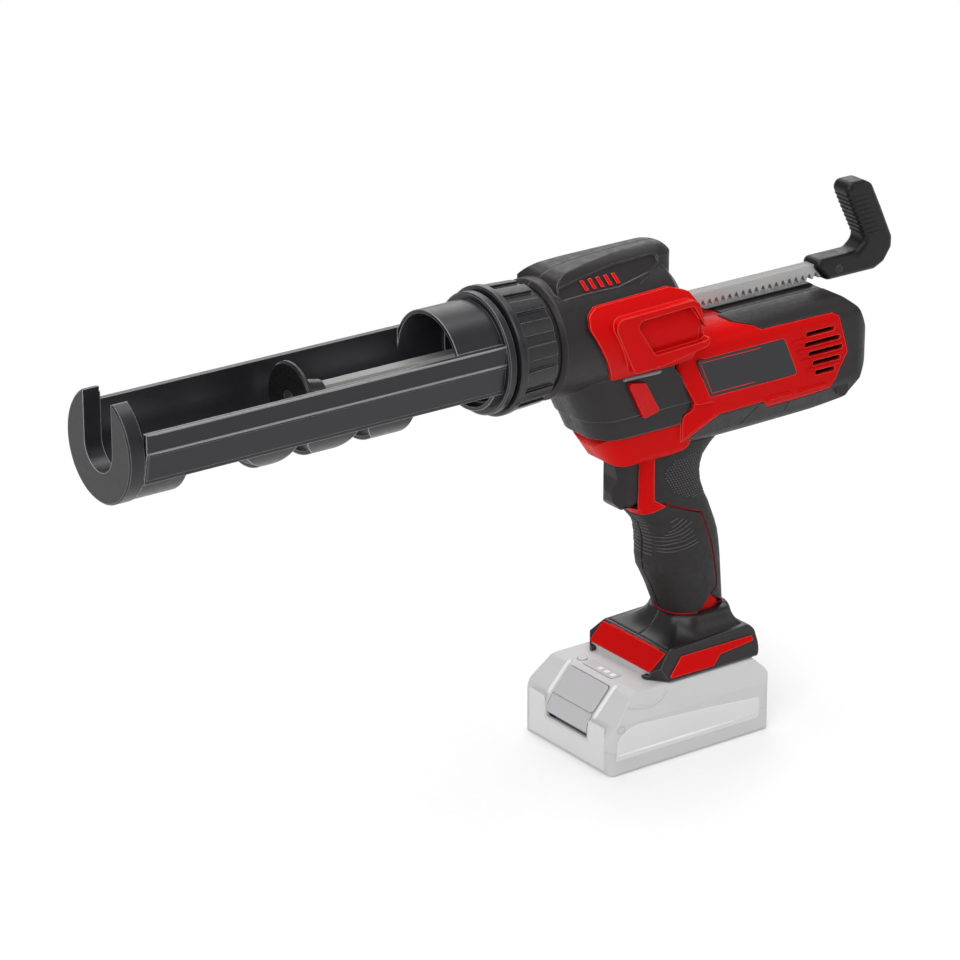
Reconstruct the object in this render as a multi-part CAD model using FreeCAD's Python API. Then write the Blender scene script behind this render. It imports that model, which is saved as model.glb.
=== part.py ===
import FreeCAD, Part
import math
import os

V = FreeCAD.Vector
os.makedirs("parts", exist_ok=True)

# Cordless caulking tool, in millimetres.
# +X runs to the rear, -Y is the tool's left side, +Z is up.
# The origin is the centre of the battery's flat underside.

# Clearances and walls used all over
overrun = 2.0
seam = 0.3
fit_gap = 0.3
seat_gap = 0.15
running_gap = 0.05
slide_gap = 0.2
shell_wall = 2.4
reach = 400.0
corner_share = 0.45

# Barrel and cartridge holder
barrel_z = 233.1
tray_length = 214.2
tray_bore_r = 25.75
tray_wall = 1.95
rail_half_width = 28.4
rail_rise = 12.3
rib_rise = 2.2
rib_proud = 0.6
rib_height = 0.9
rail_drop = 13.4
rail_foot_half_width = 25.0
arch_length = 27.0
# each opening in the tray's floor: front edge from the wall inward, then rear edge back to the wall,
# as shares of the tray's length and of its half-width
window_shares = (
    (((0.1155, 1.0),), ((0.345, 0.6), (0.2714, 1.0))),
    (((0.42, 1.0), (0.385, 0.5)), ((0.485, 0.62), (0.44, 1.0))),
    (((0.59, 1.0), (0.556, 0.5)), ((0.652, 0.62), (0.61, 1.0))),
    (((0.744, 1.0),), ((0.978, 1.0),)),
)
window_corner = 1.8
plate_thickness = 9.0
stop_step = 0.5
plate_r = 28.1
plate_edge = 0.8
slot_half_width = 12.5
horn_rise = 24.5
collar_thickness = 5.0
collar_r = 31.0
collar_edge = 0.8
collar_bore_r = 24.0
collar_sleeve_r = 26.6
collar_sleeve_length = 19.0
collar_slot_half_width = 6.0
collar_slot_height = 1.8
collar_slot_depth = 2.0
collar_slot_drop = 26.6

# Union nut and the spigot that it screws on
nose_front_x = -79.0
spigot_bore_r = 21.5
spigot_flange_thickness = 3.5
spigot_flange_r = 28.0
nut_length = 23.5
nut_r = 33.0
nut_rear_r = 30.6
nut_ring_length = 4.5
nut_pad_r = 32.4
nut_pad_rear_r = 31.4
nut_pad_count = 16
nut_pad_share = 0.55
nut_edge = 0.7
nut_to_collar = 1.2

# Push rod
rack_width = 6.4
rack_top_rise = 4.1
rack_tip_drop = 3.7
rack_module = 1.4
rack_pressure_angle = 25.0
rack_front_x = -213.0
rack_back_x = 124.0
rack_teeth_front_x = -196.0
rack_teeth_back_x = 110.0
rack_screw_bore_r = 2.1
tooth_play = 0.3
tip_play = 0.35
pusher_front_x = -220.7
pusher_thickness = 3.0
pusher_r = 18.7
pusher_rim = 1.0
hub_back_x = -203.0
hub_front_r = 9.5
hub_back_r = 6.5
pusher_screw_r = 2.0
pusher_screw_head_r = 4.2
pusher_screw_head_height = 2.0
pusher_screw_length = 15.0

# Pull handle on the push rod
handle_x = 98.5
handle_z = 227.6
handle_length = 55.0
handle_height = 50.4
handle_width = 14.0
handle_corner = 5.0
handle_edge = 3.0
handle_pin_r = 2.0
handle_pin_x = 117.0
handle_shares = [
    (0.0, 0.242), (0.555, 0.242), (0.672, 0.345), (0.507, 0.70), (0.41, 0.92),
    (0.455, 1.0), (0.634, 1.0), (0.73, 0.945), (0.848, 0.683), (1.0, 0.325),
    (1.0, 0.205), (0.906, 0.058), (0.79, 0.0), (0.205, 0.0),
]

# Gear train
pinion_x = -30.0
pinion_teeth = 14
pinion_width = 8.0
gear_module = 1.5
gear_pressure_angle = 25.0
cross_teeth = 12
reduction_teeth = 24
spur_width = 5.0
spur_near_y = 8.0
shaft_r = 4.0
shaft_half_length = 16.0
bevel_pinion_teeth = 12
bevel_gear_teeth = 18
bevel_face = 5.5
bevel_addendum_share = 0.55
bevel_dedendum_share = 1.1
bevel_play = 0.75
bevel_hub_r = 8.0
bevel_hub_length = 3.0
gear_plate_inner_y = 13.4
gear_plate_thickness = 2.4
gear_plate_half_length = 15.0
gear_plate_below = 11.5
gear_plate_above = 11.0
gear_plate_corner = 6.0
bush_r = 6.0
bush_thickness = 2.4

# Gearbox and motor
gearbox_front_x = -9.0
gearbox_back_x = 22.0
gearbox_r = 18.8
gearbox_nose_r = 10.0
gearbox_nose_length = 3.0
gearbox_bore_depth = 20.0
motor_back_x = 78.0
motor_r = 18.0
motor_wall = 1.5
motor_shaft_r = 2.5
motor_core_r = 13.0
motor_core_end = 6.0
fan_r = 17.0
fan_hub_r = 5.0
fan_disc_thickness = 1.5
fan_width = 7.0
fan_blades = 9
fan_blade_thickness = 1.2
fan_front_gap = 3.0
shaft_end_length = 12.0
end_cap_thickness = 3.0
cradle_thickness = 3.0
cradle_shares = (0.22, 0.52)

# Nose casing
nose_r = 31.0
nose_edge = 2.0
nose_tail_edge = 7.0
nose_back_x = 2.0
nose_mouth_r = 25.0
hood_x = -75.5
hood_z = 238.0
hood_length = 85.3
hood_height = 33.2
hood_corner = 11.0
hood_half_width = 20.5
hood_shoulder_z = 257.5
hood_ridge_half_width = 8.5
hood_section_corner = 13.0
hood_plan_corner = 10.0
hood_tail_half_width = 13.0
hood_turn_x = -7.0
hood_taper_share = 0.577
hood_shares = [
    (0.0, 0.0), (0.0, 0.53), (0.035, 0.81), (0.123, 0.91), (0.30, 0.96), (0.51, 0.99), (0.745, 1.0),
    (1.1, 1.0), (1.1, 0.0),
]
hood_panel_depth = 1.3
hood_panel_shares = [
    (0.01, 0.06), (0.046, 0.42), (0.211, 0.55), (0.468, 0.73), (0.755, 0.78), (0.79, 0.72),
    (0.785, 0.42), (0.75, 0.34), (0.451, 0.08), (0.23, 0.10),
]
bar_count = 5
bar_first_share = 0.219
bar_step_share = 0.0571
bar_low_share = 0.17
bar_high_share = 0.50
bar_lean_share = 0.012
bar_width = 2.2
bar_proud = 0.5
chin_x = -63.0
chin_z = 177.0
chin_length = 74.0
chin_height = 46.0
chin_half_width = 22.0
chin_front_round = 16.0
chin_shares = [
    (-0.108, 1.0), (0.192, 0.0), (0.878, 0.0), (0.892, 0.10), (0.985, 0.165),
    (0.87, 0.57), (0.81, 0.68), (0.81, 1.0),
]
chin_step_z = 188.0
chin_step_depth = 1.0

# Gear covers over the nose
cover_skin = 1.8
cover_x = -63.5
cover_z = 211.8
cover_length = 74.0
cover_height = 42.4
cover_corner = 4.0
cover_cap = 2.3
cover_shares = [
    (0.24, 0.0), (0.0, 0.76), (0.015, 0.90), (0.09, 0.975), (0.72, 1.0), (0.86, 0.92),
    (0.92, 0.76), (0.92, 0.0),
]
cover_block_face_y = 34.6
cover_block_corner = 3.0
cover_block_shares = [
    (0.345, 0.11), (0.189, 0.689), (0.189, 0.783), (0.236, 0.83), (0.831, 0.854), (0.885, 0.807),
    (0.993, 0.24), (0.588, 0.13),
]
cover_pocket_y = 30.5
cover_pocket_shares = [
    (0.338, 0.748), (0.838, 0.783), (1.007, 0.311), (0.52, 0.276),
]

# Body shells, rear bumpers
pod_x = 4.0
pod_z = 162.0
pod_length = 122.0
pod_height = 62.0
pod_half_width = 26.0
pod_corner = 4.0
pod_section_corner = 11.0
pod_rear_round = 12.0
pod_keel_half_width = 18.0
pod_keel_share = 0.28
pod_shares = [
    (0.012, 1.0), (0.852, 1.0), (0.91, 0.90), (1.0, 0.58), (1.0, 0.50), (0.875, 0.10),
    (0.70, 0.055), (-0.005, 0.0), (-0.005, 0.30), (0.053, 0.36), (-0.054, 0.775), (0.012, 0.775),
]
pod_front_half_width = 20.5
pod_taper_shares = (-0.054, 0.075)
pod_low_taper_shares = (-0.02, 0.13)
pod_low_share = 0.40
pod_open_share = 0.1
bumper_shares = [
    (0.193, 1.2), (0.197, 1.03), (0.352, 0.952), (0.385, 0.913), (0.770, 0.906), (0.799, 0.871),
    (0.852, 0.54), (0.766, 0.242), (0.672, 0.226), (0.426, 0.215), (0.398, 0.284), (0.16, 0.274),
    (0.041, 0.113), (-0.03, -0.02), (-0.03, -0.2), (1.2, -0.2), (1.2, 1.2),
]
bumper_gap = 0.4
vent_count = 5
vent_first_z_share = 0.774
vent_step_share = 0.0895
vent_front_shares = (0.619, 0.612, 0.635, 0.66, 0.675)
vent_back_shares = (0.775, 0.807, 0.822, 0.811, 0.783)
vent_height = 2.6
vent_corner_share = 0.4
label_x = 7.5
label_z = 189.8
label_length = 67.0
label_height = 21.4
label_lean = 9.5
label_thickness = 1.0
label_depth = 1.2
label_corner = 1.5
channel_half_width = 5.0
channel_depth = 1.6

# Handle, with its soft pads
band_x = -46.5
band_z = 159.0
band_length = 63.0
band_height = 17.7
band_half_width = 19.5
band_front_round = 16.0
band_edge_round = 5.0
band_nose_round = 6.0
band_shares = [
    (0.0, 1.0), (0.195, 0.0), (0.68, 0.0), (0.85, 0.15), (0.94, 0.57), (1.0, 1.0),
]
band_top_share = 0.9
grip_x = -19.0
grip_length = 65.2
grip_top_z = 164.0
grip_height = 100.0
grip_half_width = 17.5
grip_fullness = 2.5
grip_points = 20
grip_rows = 18
pad_thickness = 2.2
grip_shares = [
    (0.0, 0.031, 0.93, 0.98), (0.07, 0.031, 0.79, 0.96), (0.14, 0.031, 0.713, 0.93),
    (0.23, 0.031, 0.696, 0.93), (0.32, 0.023, 0.739, 0.943), (0.37, 0.061, 0.782, 0.949),
    (0.43, 0.153, 0.815, 0.971), (0.56, 0.215, 0.885, 1.0), (0.68, 0.215, 0.915, 1.0),
    (0.82, 0.307, 0.935, 0.949), (1.0, 0.422, 0.955, 0.914),
]
strip_shares = [
    (-0.3, -0.152), (0.16, -0.152), (0.16, 0.285), (0.255, 0.325), (0.107, 0.37), (-0.3, 0.40),
]
strip_top_share = 0.02
accent_width = 1.2
accent_shares = [
    (0.05, 0.299), (0.245, 0.312), (0.606, 0.41), (0.715, 0.599), (0.788, 0.812), (0.784, 0.854),
    (0.727, 0.887), (0.60, 0.99), (0.59, 1.048),
]
heel_shares = [
    (0.727, 0.887), (0.58, 0.986), (0.58, 1.048), (0.90, 1.048), (0.90, 0.969),
]

# Trigger, its switch and the release button on the chin
trigger_x = -28.0
trigger_z = 130.2
trigger_length = 17.0
trigger_height = 27.6
trigger_half_width = 8.5
trigger_corner = 3.0
trigger_front_round = 7.5
trigger_low_round = 6.0
trigger_travel = 6.0
trigger_shares = [
    (0.04, 1.0), (0.10, 0.66), (0.0, 0.36), (0.04, 0.17), (0.26, 0.02), (0.50, 0.0),
    (0.68, 0.09), (1.0, 0.12), (1.0, 1.0),
]
trigger_stem_r = 3.0
trigger_stem_length = 7.5
trigger_stem_share = 0.55
switch_length = 18.0
switch_half_width = 8.5
switch_height = 19.0
switch_corner = 1.5
button_x = -34.0
button_z = 186.5
button_length = 20.5
button_height = 21.0
button_corner = 1.5
button_proud = 2.0
button_flange = 1.3
button_flange_thickness = 1.2
button_shares = [(0.0, 1.0), (0.54, 0.90), (1.0, 0.10), (0.50, 0.0)]

# Foot
foot_x = -21.0
foot_z = 42.2
foot_length = 69.5
foot_height = 15.0
foot_half_width = 34.0
foot_top_half_width = 26.0
foot_front_half_width = 22.6
foot_corner = 2.5
foot_plan_corner = 4.0
foot_shares = [
    (0.0, 0.0), (0.0, 0.12), (0.185, 0.88), (0.965, 1.0), (1.0, 0.80), (1.0, 0.15), (0.965, 0.0),
]
foot_shoulder_inset = 1.0
foot_shoulder_drop_share = 0.2
foot_shoulder_front_share = 0.22
foot_flare_share = 0.76
foot_flare_rise_share = 0.36
neck_z = 65.0
neck_x = 6.5
neck_length = 38.0
neck_half_width = 18.0
neck_nose_half_width = 9.0
neck_slant = 9.0
neck_corner = 6.0
foot_front_plan_share = 0.125
foot_shoulder_corner = 6.0
foot_shoulder_nose_half_width = 21.0
foot_shoulder_slant = 15.0
foot_floor = 2.2
panel_half_width = 21.3
panel_thickness = 1.4
panel_depth = 1.0
panel_corner = 2.0
panel_shares = (0.23, 0.97)
stripe_thickness = 1.6
stripe_depth = 1.0
stripe_corner = 1.2
stripe_shares = [
    (0.284, 0.66), (0.955, 0.655), (0.962, 0.47), (0.63, 0.35), (0.54, 0.07), (0.15, 0.08), (0.134, 0.145),
]

# Battery pack
pack_length = 106.0
pack_half_width = 38.0
pack_corner = 6.0
pack_split_z = 13.0
pack_top_z = 41.8
pack_shoulder_z = 28.0
pack_shoulder_half_width = 33.5
pack_wall = 2.2
pack_edge = 2.5
pack_shares = [
    (0.0, 0.0), (0.0, 0.52), (0.035, 0.66), (0.145, 0.965), (0.19, 1.0), (0.90, 1.0),
    (0.965, 0.84), (1.0, 0.68), (1.0, 0.0),
]
tongue_front_x = -18.0
tongue_back_x = 43.0
tongue_half_width = 21.0
tongue_flange_half_width = 25.0
tongue_height = 4.2
tongue_flange_height = 1.7
blade_length = 12.0
blade_thickness = 0.9
blade_height = 2.2
blade_pitch = 11.0
blade_count = 3
terminal_length = 1.9
terminal_height = 9.0
terminal_half_width = 17.0
cell_r = 9.2
cell_length = 65.0
cell_pitch = 18.9
cell_count = 5
board_thickness = 1.6
board_length = 62.0
board_half_width = 19.0
latch_half_width = 17.0
latch_flap_z = 18.0
latch_flap_thickness = 3.6
latch_travel = 3.0
latch_thickness = 4.0
latch_corner = 2.0
latch_proud = 0.6
gauge_x = -33.5
gauge_length = 7.0
gauge_half_width = 12.5
gauge_thickness = 1.2
gauge_proud = 0.2
charge_button_half_width = 2.5
charge_button_y = 17.0
charge_button_travel = 0.8
charge_button_height = 2.4
control_board_length = 18.0
control_board_height = 20.0
control_board_x = 13.0

# Casing screws: place along X and Z, and the half width of the casing there
screw_r = 1.6
screw_head_r = 3.2
screw_head_height = 2.2
screw_boss_r = 4.2
screw_sink = 3.0
screw_grip = 8.0
hood_screw_shares = (0.5, 0.69, 0.72)
pod_top_screw_shares = (0.90, 0.70)
pod_low_screw_shares = (0.84, 0.20)
grip_mid_screw_shares = (0.55, 0.578)
grip_low_screw_shares = (0.70, 0.904)

# Places that follow from the sizes above
spigot_front_x = nose_front_x - spigot_flange_thickness
nut_back_x = spigot_front_x - fit_gap
nut_front_x = nut_back_x - nut_length
collar_back_x = nut_front_x - nut_to_collar
collar_front_x = collar_back_x - collar_thickness
muzzle_x = collar_front_x - tray_length
tray_front_x = muzzle_x + plate_thickness
tray_outer_r = tray_bore_r + tray_wall
rack_top_z = barrel_z + rack_top_rise
rack_tip_z = barrel_z - rack_tip_drop
rack_pitch_z = rack_tip_z + rack_module
pinion_r = rack_module * pinion_teeth / 2
pinion_z = rack_pitch_z - pinion_r
cross_r = gear_module * cross_teeth / 2
reduction_r = gear_module * reduction_teeth / 2
cross_z = pinion_z - cross_r - reduction_r
motor_z = cross_z
bevel_pinion_r = gear_module * bevel_pinion_teeth / 2
bevel_gear_r = gear_module * bevel_gear_teeth / 2
nose_bore_r = nose_r - shell_wall
foot_top_z = foot_z + foot_height
pack_back_x = pack_length / 2
pack_front_x = -pack_back_x


# Drawing helpers
def place(shares, x, z, length, height):
    """Turn shares of a length and a height into points."""
    return [(x + a * length, z + b * height) for a, b in shares]


def corner_arc(before, point, after, radius):
    """Start, middle and end of the arc that rounds one corner; the radius is limited by its two sides."""
    px, pz = point
    ax, az = before[0] - px, before[1] - pz
    bx, bz = after[0] - px, after[1] - pz
    la, lb = math.hypot(ax, az), math.hypot(bx, bz)
    ax, az, bx, bz = ax / la, az / la, bx / lb, bz / lb
    half = math.acos(max(-1.0, min(1.0, ax * bx + az * bz))) / 2
    run = min(radius / math.tan(half), corner_share * min(la, lb))
    round_r = run * math.tan(half)
    mx, mz = ax + bx, az + bz
    lm = math.hypot(mx, mz)
    deep = round_r / math.sin(half) - round_r
    return ((px + ax * run, pz + az * run), (px + mx / lm * deep, pz + mz / lm * deep),
            (px + bx * run, pz + bz * run))


def outline(points, lift, radius=0.0):
    """Closed face through the points, with rounded corners; lift gives each point its place in space."""
    edges = []
    count = len(points)
    if radius > 0:
        arcs = [corner_arc(points[i - 1], points[i], points[(i + 1) % count], radius) for i in range(count)]
        for i, (start, middle, end) in enumerate(arcs):
            edges.append(Part.LineSegment(lift(arcs[i - 1][2]), lift(start)).toShape())
            edges.append(Part.Arc(lift(start), lift(middle), lift(end)).toShape())
    else:
        for i in range(count):
            edges.append(Part.LineSegment(lift(points[i - 1]), lift(points[i])).toShape())
    return Part.Face(Part.Wire(edges))


def prism_xz(points, y0, y1, radius=0.0):
    return outline(points, lambda p: V(p[0], y0, p[1]), radius).extrude(V(0, y1 - y0, 0))


def prism_yz(points, x0, x1, radius=0.0):
    return outline(points, lambda p: V(x0, p[0], p[1]), radius).extrude(V(x1 - x0, 0, 0))


def prism_xy(points, z0, z1, radius=0.0):
    return outline(points, lambda p: V(p[0], p[1], z0), radius).extrude(V(0, 0, z1 - z0))


def inset_xz(points, y0, y1, inset, radius=0.0):
    """Prism of an outline drawn in by the inset."""
    face = outline(points, lambda p: V(p[0], y0, p[1]), radius)
    return face.makeOffset2D(-inset).extrude(V(0, y1 - y0, 0))


def side_prism(points, half, inset, radius):
    """Prism of a side outline from -half to half, drawn in by the inset."""
    if inset:
        return inset_xz(points, -half, half, inset, radius)
    return prism_xz(points, -half, half, radius)


def box(x0, x1, y0, y1, z0, z1):
    return Part.makeBox(x1 - x0, y1 - y0, z1 - z0, V(x0, y0, z0))


def cyl_x(radius, x0, x1, z=barrel_z, y=0.0):
    return Part.makeCylinder(radius, x1 - x0, V(x0, y, z), V(1, 0, 0))


def cyl_y(radius, y0, y1, x, z):
    return Part.makeCylinder(radius, y1 - y0, V(x, y0, z), V(0, 1, 0))


def cyl_z(radius, z0, z1, x, y=0.0):
    return Part.makeCylinder(radius, z1 - z0, V(x, y, z0), V(0, 0, 1))


def cone_x(r0, r1, x0, x1, z=barrel_z):
    return Part.makeCone(r0, r1, x1 - x0, V(x0, 0, z), V(1, 0, 0))


def tube_x(outer, inner, x0, x1, z=barrel_z):
    return cyl_x(outer, x0, x1, z).cut(cyl_x(inner, x0 - overrun, x1 + overrun, z))


def disc_x(radius, edge, x0, x1, back_edge=0.0):
    """Disc along X with both rims chamfered; the back rim may have its own chamfer."""
    back_edge = back_edge or edge
    middle = cyl_x(radius, x0 + edge, x1 - back_edge)
    front = cone_x(radius - edge, radius, x0, x0 + edge)
    back = cone_x(radius, radius - back_edge, x1 - back_edge, x1)
    return middle.fuse([front, back])


def rectangle(x0, x1, z0, z1):
    return [(x0, z0), (x1, z0), (x1, z1), (x0, z1)]


def left_half(shape):
    return shape.common(box(-reach, reach, -reach, -seam / 2, -reach, reach))


def mirrored(shape):
    return shape.mirror(V(0, 0, 0), V(0, 1, 0))


def save(name, shape):
    clean = shape.removeSplitter()
    clean.exportStep("parts/%s.step" % name)
    volumes = ["%.0f" % s.Volume for s in clean.Solids]
    state = "solids %d valid %s" % (len(clean.Solids), clean.isValid())
    print("%-24s %s volume %s" % (name, state, " ".join(volumes[:4])))


def save_pair(name, left):
    save(name + "_left", left)
    save(name + "_right", mirrored(left))


# Gear teeth
def involute(angle):
    return math.tan(angle) - angle


def gear_points(teeth, module, pressure_angle, phase, addendum, dedendum, play, steps=3):
    """Outline of a spur gear as (u, v) points; a tooth is centred on the phase angle."""
    pressure = math.radians(pressure_angle)
    pitch_r = module * teeth / 2
    base_r = pitch_r * math.cos(pressure)
    tip_r = pitch_r + addendum
    root_r = pitch_r - dedendum
    half = math.pi / (2 * teeth) - play / (2 * pitch_r)
    low_r = max(base_r, root_r)
    flank = []
    for i in range(steps + 1):
        radius = low_r + (tip_r - low_r) * i / steps
        local = math.acos(min(1.0, base_r / radius))
        flank.append((radius, half + involute(pressure) - involute(local)))
    if root_r < low_r:
        flank.insert(0, (root_r, flank[0][1]))
    points = []
    for tooth in range(teeth):
        middle = phase + 2 * math.pi * tooth / teeth
        points += [(r, middle - a) for r, a in flank]
        points += [(r, middle + a) for r, a in reversed(flank)]
    return [(r * math.cos(a), r * math.sin(a)) for r, a in points]


def spur_gear(teeth, module, pressure_angle, phase, x, z, y0, y1, tip_gap):
    points = gear_points(teeth, module, pressure_angle, phase, module, module + tip_gap, tooth_play)
    return prism_xz([(x + u, z + v) for u, v in points], y0, y1)


def bevel_solid(teeth, mate_teeth, phase, lift):
    """Straight bevel gear: its teeth run towards the apex, where both shafts cross."""
    pitch_r = gear_module * teeth / 2
    back = gear_module * mate_teeth / 2
    cone = math.atan2(pitch_r, back)
    rise = gear_module * bevel_addendum_share * math.cos(cone)
    fall = gear_module * bevel_dedendum_share * math.cos(cone)
    points = gear_points(teeth, gear_module, gear_pressure_angle, phase, rise, fall, bevel_play)
    keep = 1 - bevel_face / math.hypot(pitch_r, back)
    wires = []
    for scale in (1.0, keep):
        corners = [lift(u * scale, v * scale, back * scale) for u, v in points]
        wires.append(Part.makePolygon(corners + corners[:1]))
    return Part.makeLoft(wires, True, True)


# Cartridge holder
def tray_section():
    """Half outline of the rails, as (y, z) points."""
    rib = barrel_z + rib_rise
    right = [
        (rail_half_width, barrel_z + rail_rise), (rail_half_width, rib + rib_height),
        (rail_half_width + rib_proud, rib + rib_height / 2), (rail_half_width, rib),
        (rail_foot_half_width, barrel_z - rail_drop),
    ]
    return right + [(-y, z) for y, z in reversed(right)]


def tray_window(front, rear):
    """Opening across the tray's floor between two floor bands."""
    spots = list(front) + [(x, -y) for x, y in reversed(front)]
    spots += [(x, -y) for x, y in reversed(rear)] + list(rear)
    length = collar_front_x - tray_front_x
    plan = [(tray_front_x + x * length, y * rail_foot_half_width) for x, y in spots]
    top = barrel_z - rail_drop
    return prism_xy(plan, top - tray_outer_r, top, window_corner)


def holder_tray():
    rails = prism_yz(tray_section(), tray_front_x, collar_front_x)
    floor = cyl_x(tray_outer_r, tray_front_x, collar_front_x)
    floor = floor.common(box(-reach, reach, -reach, reach, 0, barrel_z - rail_drop + tray_wall))
    arch = cyl_x(tray_outer_r, collar_front_x - arch_length, collar_front_x)
    tray = rails.fuse([floor, arch])
    tray = tray.cut(cyl_x(tray_bore_r, tray_front_x - overrun, collar_front_x + overrun))
    above = box(tray_front_x - overrun, collar_front_x - arch_length, -tray_bore_r, tray_bore_r,
                barrel_z, barrel_z + reach)
    tray = tray.cut(above)
    for front, rear in window_shares:
        tray = tray.cut(tray_window(front, rear))
    save("holder_tray", tray)


def front_plate():
    plate = disc_x(plate_r, plate_edge, muzzle_x, tray_front_x)
    slot = cyl_x(slot_half_width, muzzle_x - overrun, tray_front_x + overrun)
    mouth = box(muzzle_x - overrun, tray_front_x + overrun, -slot_half_width, slot_half_width,
                barrel_z, barrel_z + reach)
    top_z = barrel_z + horn_rise
    tips = box(muzzle_x - overrun, tray_front_x + overrun, -reach, reach, top_z, top_z + reach)
    stop = cyl_x(tray_bore_r - 2 * fit_gap, tray_front_x - overrun, tray_front_x + stop_step)
    save("front_plate", plate.fuse(stop).cut(slot).cut(mouth).cut(tips))


def holder_collar():
    disc = disc_x(collar_r, collar_edge, collar_front_x, collar_back_x)
    end_x = collar_back_x + collar_sleeve_length
    sleeve = cyl_x(collar_sleeve_r, collar_back_x - overrun, end_x)
    collar = disc.fuse(sleeve).cut(cyl_x(collar_bore_r, collar_front_x - overrun, end_x + overrun))
    slot_z = barrel_z - collar_slot_drop
    slot = box(collar_front_x - overrun, collar_front_x + collar_slot_depth, -collar_slot_half_width,
               collar_slot_half_width, slot_z - collar_slot_height, slot_z)
    save("holder_collar", collar.cut(slot))


def union_nut():
    ring = disc_x(nut_r, nut_edge, nut_front_x, nut_front_x + nut_ring_length)
    skirt_x = nut_front_x + nut_ring_length - overrun
    skirt = cone_x(nut_pad_rear_r - nut_edge, nut_rear_r - nut_edge, skirt_x, nut_back_x)
    pads = cone_x(nut_pad_r, nut_pad_rear_r, skirt_x, nut_back_x - nut_edge)
    half = math.pi * nut_pad_share / nut_pad_count
    far = 2 * nut_r
    wedges = []
    for i in range(nut_pad_count):
        middle = 2 * math.pi * (i + 0.5) / nut_pad_count
        corners = [(0.0, barrel_z)]
        for angle in (middle - half, middle + half):
            corners.append((far * math.cos(angle), barrel_z + far * math.sin(angle)))
        wedges.append(prism_yz(corners, skirt_x, nut_back_x))
    pads = pads.common(wedges[0].fuse(wedges[1:]))
    nut = ring.fuse([skirt, pads])
    bore = cyl_x(collar_sleeve_r + fit_gap, nut_front_x - overrun, nut_back_x + overrun)
    save("union_nut", nut.cut(bore))


def holder_spigot():
    flange = cyl_x(spigot_flange_r, spigot_front_x, nose_front_x)
    tube = cyl_x(collar_bore_r - fit_gap, collar_back_x, nose_front_x)
    spigot = flange.fuse(tube)
    save("holder_spigot", spigot.cut(cyl_x(spigot_bore_r, collar_back_x - overrun, nose_front_x + overrun)))


# Push rod
def rack_bar():
    pitch = math.pi * rack_module
    lean = math.tan(math.radians(rack_pressure_angle)) * rack_module
    root_z = rack_pitch_z + rack_module + tip_play
    root_lean = math.tan(math.radians(rack_pressure_angle)) * (rack_module + tip_play)
    half = pitch / 4 - tooth_play / 2
    first = math.ceil((rack_teeth_front_x - pinion_x) / pitch)
    last = math.floor((rack_teeth_back_x - pinion_x) / pitch)
    points = [(rack_front_x, rack_top_z), (rack_front_x, rack_tip_z)]
    points.append((pinion_x + (first - 0.5) * pitch, rack_tip_z))
    points.append((pinion_x + (first - 0.5) * pitch, root_z))
    for i in range(first, last + 1):
        middle = pinion_x + i * pitch
        points.append((middle - half - root_lean, root_z))
        points.append((middle - half + lean, rack_tip_z))
        points.append((middle + half - lean, rack_tip_z))
        points.append((middle + half + root_lean, root_z))
    points.append((pinion_x + (last + 0.5) * pitch, root_z))
    points.append((pinion_x + (last + 0.5) * pitch, rack_tip_z))
    points += [(rack_back_x, rack_tip_z), (rack_back_x, rack_top_z)]
    bar = prism_xz(points, -rack_width / 2, rack_width / 2)
    screw_end = pusher_front_x + pusher_screw_head_height + pusher_screw_length + overrun
    bar = bar.cut(cyl_x(rack_screw_bore_r, rack_front_x - overrun, screw_end))
    save("rack_bar", bar.cut(cyl_y(handle_pin_r + seat_gap, -reach, reach, handle_pin_x, barrel_z)))


def rack_hole(x0, x1, gap):
    """Space for the push rod, with a gap all round."""
    return box(x0, x1, -rack_width / 2 - gap, rack_width / 2 + gap, rack_tip_z - gap, rack_top_z + gap)


def pusher():
    back_x = pusher_front_x + pusher_thickness
    disc = disc_x(pusher_r, pusher_rim, pusher_front_x, back_x)
    head_x = pusher_front_x + pusher_screw_head_height
    disc = disc.cut(cyl_x(pusher_screw_head_r + seat_gap, pusher_front_x - overrun, head_x))
    disc = disc.cut(cyl_x(pusher_screw_r + seat_gap, pusher_front_x - overrun, back_x + overrun))
    save("pusher_disc", disc)
    hub = cone_x(hub_front_r, hub_back_r, back_x, hub_back_x)
    hub = hub.cut(cyl_x(pusher_screw_r + seat_gap, back_x - overrun, hub_back_x))
    save("pusher_hub", hub.cut(rack_hole(rack_front_x - seat_gap, hub_back_x + overrun, seat_gap)))
    screw = cyl_x(pusher_screw_head_r, pusher_front_x, head_x)
    save("pusher_screw", screw.fuse(cyl_x(pusher_screw_r, pusher_front_x, head_x + pusher_screw_length)))


def rack_handle():
    points = place(handle_shares, handle_x, handle_z, handle_length, handle_height)
    half = handle_width / 2
    body = prism_xz(points, -half, half, handle_corner)
    face = outline(points, lambda p: V(p[0], -half - overrun, p[1]), handle_corner)
    rims = [e for e in body.Edges if abs(abs(e.CenterOfMass.y) - half) < running_gap]
    body = body.makeFillet(handle_edge, rims)
    body = body.cut(rack_hole(face.BoundBox.XMin - overrun, rack_back_x + seat_gap, seat_gap))
    pin_hole = cyl_y(handle_pin_r + seat_gap, -reach, reach, handle_pin_x, barrel_z)
    save("rack_handle", body.cut(pin_hole))
    save("handle_pin", cyl_y(handle_pin_r, -half, half, handle_pin_x, barrel_z))


# Gear train
def shaft(z):
    return cyl_y(shaft_r, -shaft_half_length, shaft_half_length, pinion_x, z)


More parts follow.
